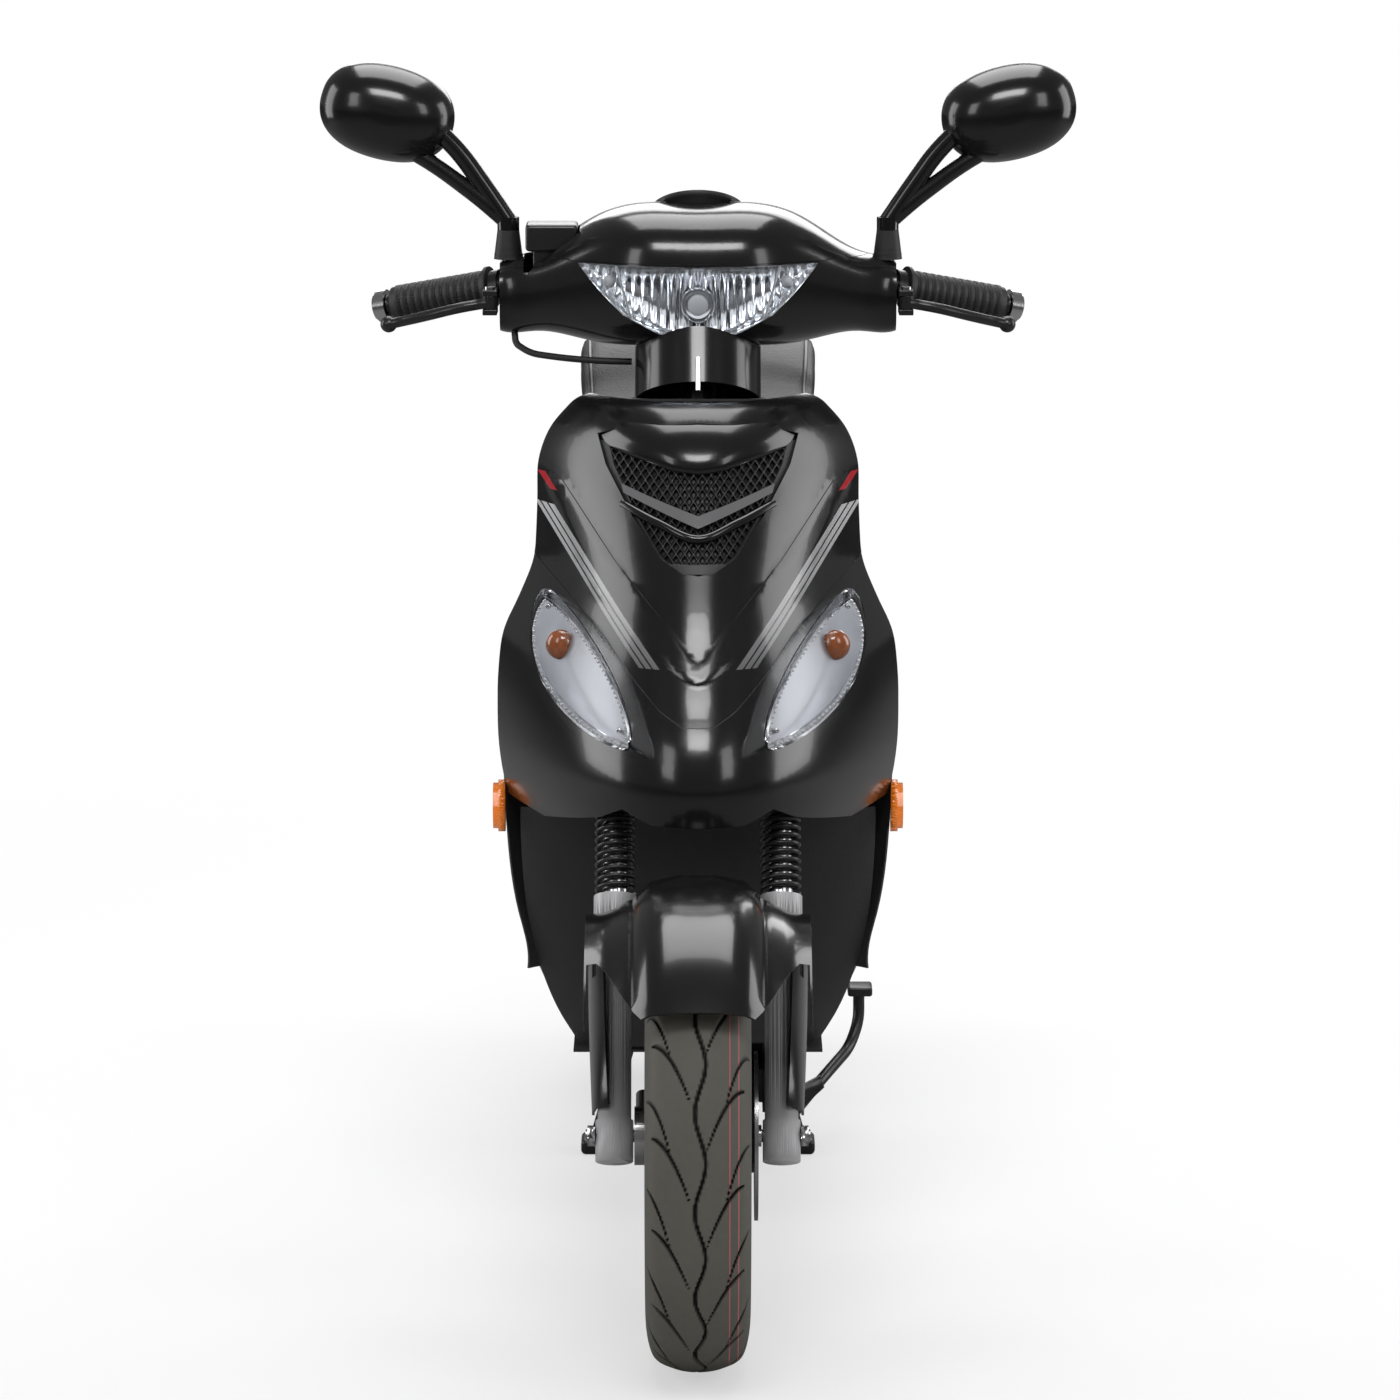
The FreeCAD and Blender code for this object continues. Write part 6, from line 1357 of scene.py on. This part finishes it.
@dataclass
class Seat:
    """Dual seat: crowned cushion with pulled-in sides, a piped edge and two sewn channels."""

    start: float = 765.0
    length: float = 645.0
    bottom: float = 531.5
    stations: tuple[tuple[float, float, float], ...] = (    # behind the start, half width, top
        (0, 60, 546), (10, 74, 552), (40, 90, 556), (90, 105, 556), (180, 118, 553), (250, 121.5, 556),
        (300, 123, 572), (335, 125, 592), (400, 127, 610), (470, 127, 615), (540, 120, 615), (590, 107, 611),
        (622, 92, 602), (638, 80, 590), (645, 74, 578))
    shape: float = 3.0          # squareness of the section
    seams: tuple[float, ...] = (258.0, 470.0)
    slant: float = 14.0         # how far a seam's middle lies before its ends
    channel: float = 5.5        # depth of a sewn channel
    spread: float = 5.0         # and its half width
    crown: float = 4.0          # rise of the top's middle
    tuck: float = 1.6           # how far the side is pulled in at the piping
    waist: float = 2.5          # and half way up
    corners: int = 128          # round the section
    stitch: float = 7.5         # stitches from a seam's middle
    edge: float = 0.62          # how far up its side the piping runs, as a sine

    def station(self, count: int) -> tuple[Array, Array, Array]:
        """Smooth run of the stations: distance, half width, top."""
        line = smooth_line([(a, b, c) for a, b, c in self.stations], count)
        return line[:, 0], line[:, 1], line[:, 2]

    def ring(self, d: Array, w: Array, top: Array, turn: Array, swell: float = 0.0) -> Array:
        """Places on the cushion.

        x = w |cos|^(2/n), z = middle + half height * |sin|^(2/n), less a dip at each seam and at the piping.
        """
        c, s = np.cos(turn), np.sin(turn)
        n = 2 / self.shape
        half = (top - self.bottom) / 2
        x = np.sign(c) * np.abs(c) ** n
        z = np.sign(s) * np.abs(s) ** n
        up = np.clip(s, 0, 1) ** 1.5
        bend = self.slant * (1 - np.abs(x))
        dip = sum(self.channel * np.exp(-((d - seam + bend) / self.spread) ** 2) for seam in self.seams) * up
        pull = self.tuck * np.exp(-((z - self.edge) / 0.10) ** 2)
        crown = self.crown * (1 - x ** 2) * up
        waist = self.waist * np.exp(-(z / 0.35) ** 2)
        wide = x * (w - pull - waist + swell)
        high = self.bottom + half + z * (half + swell) - dip + crown - self.crown * up * 0.6
        behind = FRONT_AXLE.y + (self.start + d) * MM + 0 * x
        return np.stack([wide * MM, behind, FRONT_AXLE.z + high * MM], -1)

    def build(self) -> None:
        """Makes the cushion, its piping and its stitches."""
        d, w, top = self.station(14)
        turn = np.arange(self.corners) * 2 * np.pi / self.corners
        points = self.ring(d[:, None], w[:, None], top[:, None], turn[None, :])
        nose, tail = (np.tile(end.mean(0), (self.corners, 1)) for end in (points[0], points[-1]))
        front = points[0] + (nose - points[0]) * 0.35 + np.array([0, -0.003, 0])
        rear = points[-1] + (tail - points[-1]) * 0.35 + np.array([0, 0.003, 0])
        rows = [nose + np.array([0, -0.0035, 0]), front, *points, rear, tail + np.array([0, 0.0035, 0])]
        faces = grid_faces(len(rows), self.corners, False, True)
        cushion = new_piece("seat_cushion_cover", np.stack(rows), faces, Look.VINYL, "seat")
        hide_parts("seat_cushion")
        self.piping(d, w, top)
        self.stitches()

    def piping(self, d: Array, w: Array, top: Array) -> None:
        """Round cord along both sides of the top panel and across its ends."""
        angle = math.asin(self.edge ** (self.shape / 2))
        left = self.ring(d, w, top, np.full_like(d, angle), 1.0)
        right = self.ring(d, w, top, np.full_like(d, math.pi - angle), 1.0)
        nose = np.linspace(left[0], right[0], 14)[1:-1] + np.array([0, -0.001, 0])
        heel = np.linspace(right[-1], left[-1], 14)[1:-1] + np.array([0, 0.001, 0])
        loop = np.concatenate([left[::-1], nose, right, heel])
        new_piece("seat_piping", *swept(loop, circle(0.0021, 10), closed=True), Look.PIPING, "seat")

    def stitches(self) -> None:
        """Short threads on both sides of each sewn channel."""
        stations = np.array(self.stations)
        threads = []
        for seam in self.seams:
            for side in (-self.stitch, self.stitch):
                turn = np.linspace(0.30, math.pi - 0.30, 44)
                n = 2 / self.shape
                x = np.sign(np.cos(turn)) * np.abs(np.cos(turn)) ** n
                d = seam - self.slant * (1 - np.abs(x)) + side
                w, top = (np.interp(d, stations[:, 0], stations[:, k]) for k in (1, 2))
                line = self.ring(d, w, top, turn, 0.5)
                for a, b in zip(line[:-1:2], line[1::2]):
                    threads.append(swept(np.linspace(a, b, 4), circle(0.00055, 6)))
        new_piece("seat_stitches", *gathered(threads), Look.THREAD, "seat")


@dataclass
class RearBody:
    """Side covers, tail, lamps, tank and seat."""

    def build(self) -> None:
        """Makes and dresses the rear."""
        Seat().build()
        panels = Copy("rear_body_panels", split=True)

        def look_of(number: int) -> Look:
            """Matt for the panels in the middle and before the axle, gloss for the rest."""
            across, behind, _ = panels.centre(number)
            return Look.MATT if abs(across) < 0.03 and behind < REAR_AXLE.y else Look.GLOSS

        panels.place_each("rear_body_panel", look_of)
        Copy("fuel_tank", split=True).place_each("fuel_tank", lambda k: Look.SATIN if k else Look.MATT)
        lamps = Copy("rear_lights", split=True)
        middle = [k for k in range(len(lamps.meshes)) if abs(lamps.centre(k)[0]) < 0.02]
        lens = max(middle, key=lambda k: lamps.centre(k)[1])
        for number in range(len(lamps.meshes)):
            if number == lens:
                lamps.place("tail_lens", Look.RED, number)
            elif number in middle:
                lamps.place("tail_lamp_base", Look.SATIN, number)
            else:
                lamps.place(f"rear_signal_{number}", Look.ORANGE, number)


# ---- power unit -----------------------------------------------------------------------------


@dataclass
class PowerUnit:
    """Engine, drive case, exhaust and kick lever."""

    split: tuple[tuple[str, tuple[Look, ...]], ...] = (
        ("crankcase", (Look.CAST, Look.STEEL)), ("cvt_cover", (Look.CAST, Look.GRIP, Look.STEEL)),
        ("cylinder", (Look.CAST, Look.STEEL)), ("intake", (Look.MATT, Look.GRIP, Look.CAST)),
        ("muffler", (Look.HOT, Look.CHROME)), ("kick_lever", (Look.STEEL, Look.GRIP)))

    def build(self) -> None:
        """Dresses each solid by its rank in size."""
        for node, looks in self.split:
            Copy(node, split=True).place_each(node, lambda k: looks[min(k, len(looks) - 1)])


# ---- studio ---------------------------------------------------------------------------------


@dataclass
class Lamp:
    """Soft lamp: a rectangle that looks at a place."""

    name: str
    place: tuple[float, float, float]
    aim: tuple[float, float, float]
    size: tuple[float, float]
    power: float

    def build(self) -> None:
        """Adds the lamp."""
        data = bpy.data.lights.new(self.name, "AREA")
        data.shape = "RECTANGLE"
        data.size, data.size_y = self.size
        data.energy = self.power
        lamp = linked(self.name, data)
        lamp.location = self.place
        lamp.rotation_euler = (Vector(self.aim) - Vector(self.place)).to_track_quat("-Z", "Y").to_euler()


@dataclass
class Studio:
    """Pale floor, white surroundings, soft lamps and the camera."""

    distance: float = 6.5       # from the front axle
    height: float = 1.70
    pitch: float = 9.40         # degrees below the horizon
    lens: float = 185.76
    shift: float = 2 / 1400     # the scooter stands a little left of the frame's middle
    fill: float = 0.16          # strength of the surroundings as light
    lamps: tuple[Lamp, ...] = (
        Lamp("side_right", (-2.6, 0.15, 1.35), (0, -0.3, 0.7), (1.2, 2.1), 26),
        Lamp("side_left", (2.6, 0.15, 1.35), (0, -0.3, 0.7), (1.2, 2.1), 26),
        Lamp("front_right", (-2.2, -3.0, 2.2), (0, 0, 0.7), (0.9, 1.6), 16),
        Lamp("front_left", (2.2, -3.0, 2.2), (0, 0, 0.7), (0.9, 1.6), 16),
        Lamp("front", (0, -3.2, 3.6), (0, 0, 0.8), (1.6, 1.0), 60),
        Lamp("top", (0, 0.8, 3.4), (0, 0, 0), (2.0, 2.4), 70),
        Lamp("back", (0.4, 3.4, 2.4), (0, 0.4, 0.6), (3.0, 1.8), 60))

    def build(self) -> None:
        """Sets up the studio."""
        scene = bpy.context.scene
        scene.view_settings.view_transform = "Standard"
        self.surroundings(scene)
        self.floor()
        for lamp in self.lamps:
            lamp.build()
        data = bpy.data.cameras.new("camera")
        data.lens, data.sensor_width, data.shift_x = self.lens, 36.0, self.shift
        data.clip_end = 100.0
        camera = linked("camera", data)
        camera.location = (0.0, FRONT_AXLE.y - self.distance, self.height)
        camera.rotation_euler = (math.radians(90 - self.pitch), 0.0, 0.0)
        scene.camera = camera

    def surroundings(self, scene: bpy.types.Scene) -> None:
        """White world for the camera and for what glass lets through, dimmer as light and in what metal
        shows.
        """
        world = bpy.data.worlds.new("surroundings")
        world.use_nodes = True
        tree = world.node_tree
        tree.nodes.clear()
        path = tree.nodes.new("ShaderNodeLightPath")
        most = tree.nodes.new("ShaderNodeMath")
        most.operation = "MAXIMUM"
        tree.links.new(path.outputs["Is Camera Ray"], most.inputs[0])
        tree.links.new(path.outputs["Is Transmission Ray"], most.inputs[1])
        strength = tree.nodes.new("ShaderNodeMapRange")
        strength.inputs["To Min"].default_value = self.fill
        tree.links.new(most.outputs[0], strength.inputs["Value"])
        sky = tree.nodes.new("ShaderNodeBackground")
        tree.links.new(strength.outputs[0], sky.inputs["Strength"])
        out = tree.nodes.new("ShaderNodeOutputWorld")
        tree.links.new(sky.outputs[0], out.inputs["Surface"])
        sky.inputs["Color"].default_value = (1, 1, 1, 1)
        scene.world = world

    def floor(self) -> None:
        """Floor that keeps a soft shadow and melts into the white behind."""
        reach = 30.0
        corners = np.array([(-reach, -reach, 0), (reach, -reach, 0), (reach, reach, 0), (-reach, reach, 0)])
        mesh = bpy.data.meshes.new("floor")
        mesh.from_pydata(corners.tolist(), [], [(0, 1, 2, 3)])
        graph = Graph("pale_floor")
        x, y, _ = graph.axes()
        far = ((x * x + y * y) ** 0.5 - 0.8) / 1.8
        edge = far.most(0.0).least(1.0)
        lit = graph.node("ShaderNodeBsdfDiffuse", inputs={"Color": (0.80, 0.80, 0.80)})
        dark = graph.node("ShaderNodeBsdfDiffuse", inputs={"Color": (0.22, 0.22, 0.22)})
        glow = graph.node("ShaderNodeEmission", inputs={"Color": (1.0, 1.0, 1.0), "Strength": 1.0})
        camera = graph.node("ShaderNodeLightPath", output="Is Camera Ray")
        glossy = graph.node("ShaderNodeLightPath", output="Is Glossy Ray")
        seen = graph.node("ShaderNodeMixShader", inputs={0: camera * (edge * 0.45 + 0.55), 1: lit, 2: glow})
        mixed = graph.node("ShaderNodeMixShader", inputs={0: glossy, 1: seen, 2: dark})
        graph.node_output(mixed)
        mesh.materials.append(graph.material)
        linked("floor", mesh)


def main() -> None:
    """Builds the scooter's looks from the front to the rear, then the studio."""
    logging.basicConfig(level=logging.INFO, format="%(message)s")
    for assembly in (Wheels(), Fork(), Headlight(), Cockpit(), Shield(), Lower(), RearBody(), PowerUnit()):
        assembly.build()
        LOG.info("built %s", type(assembly).__name__)
    Studio().build()


if __name__ == "__main__":
    main()
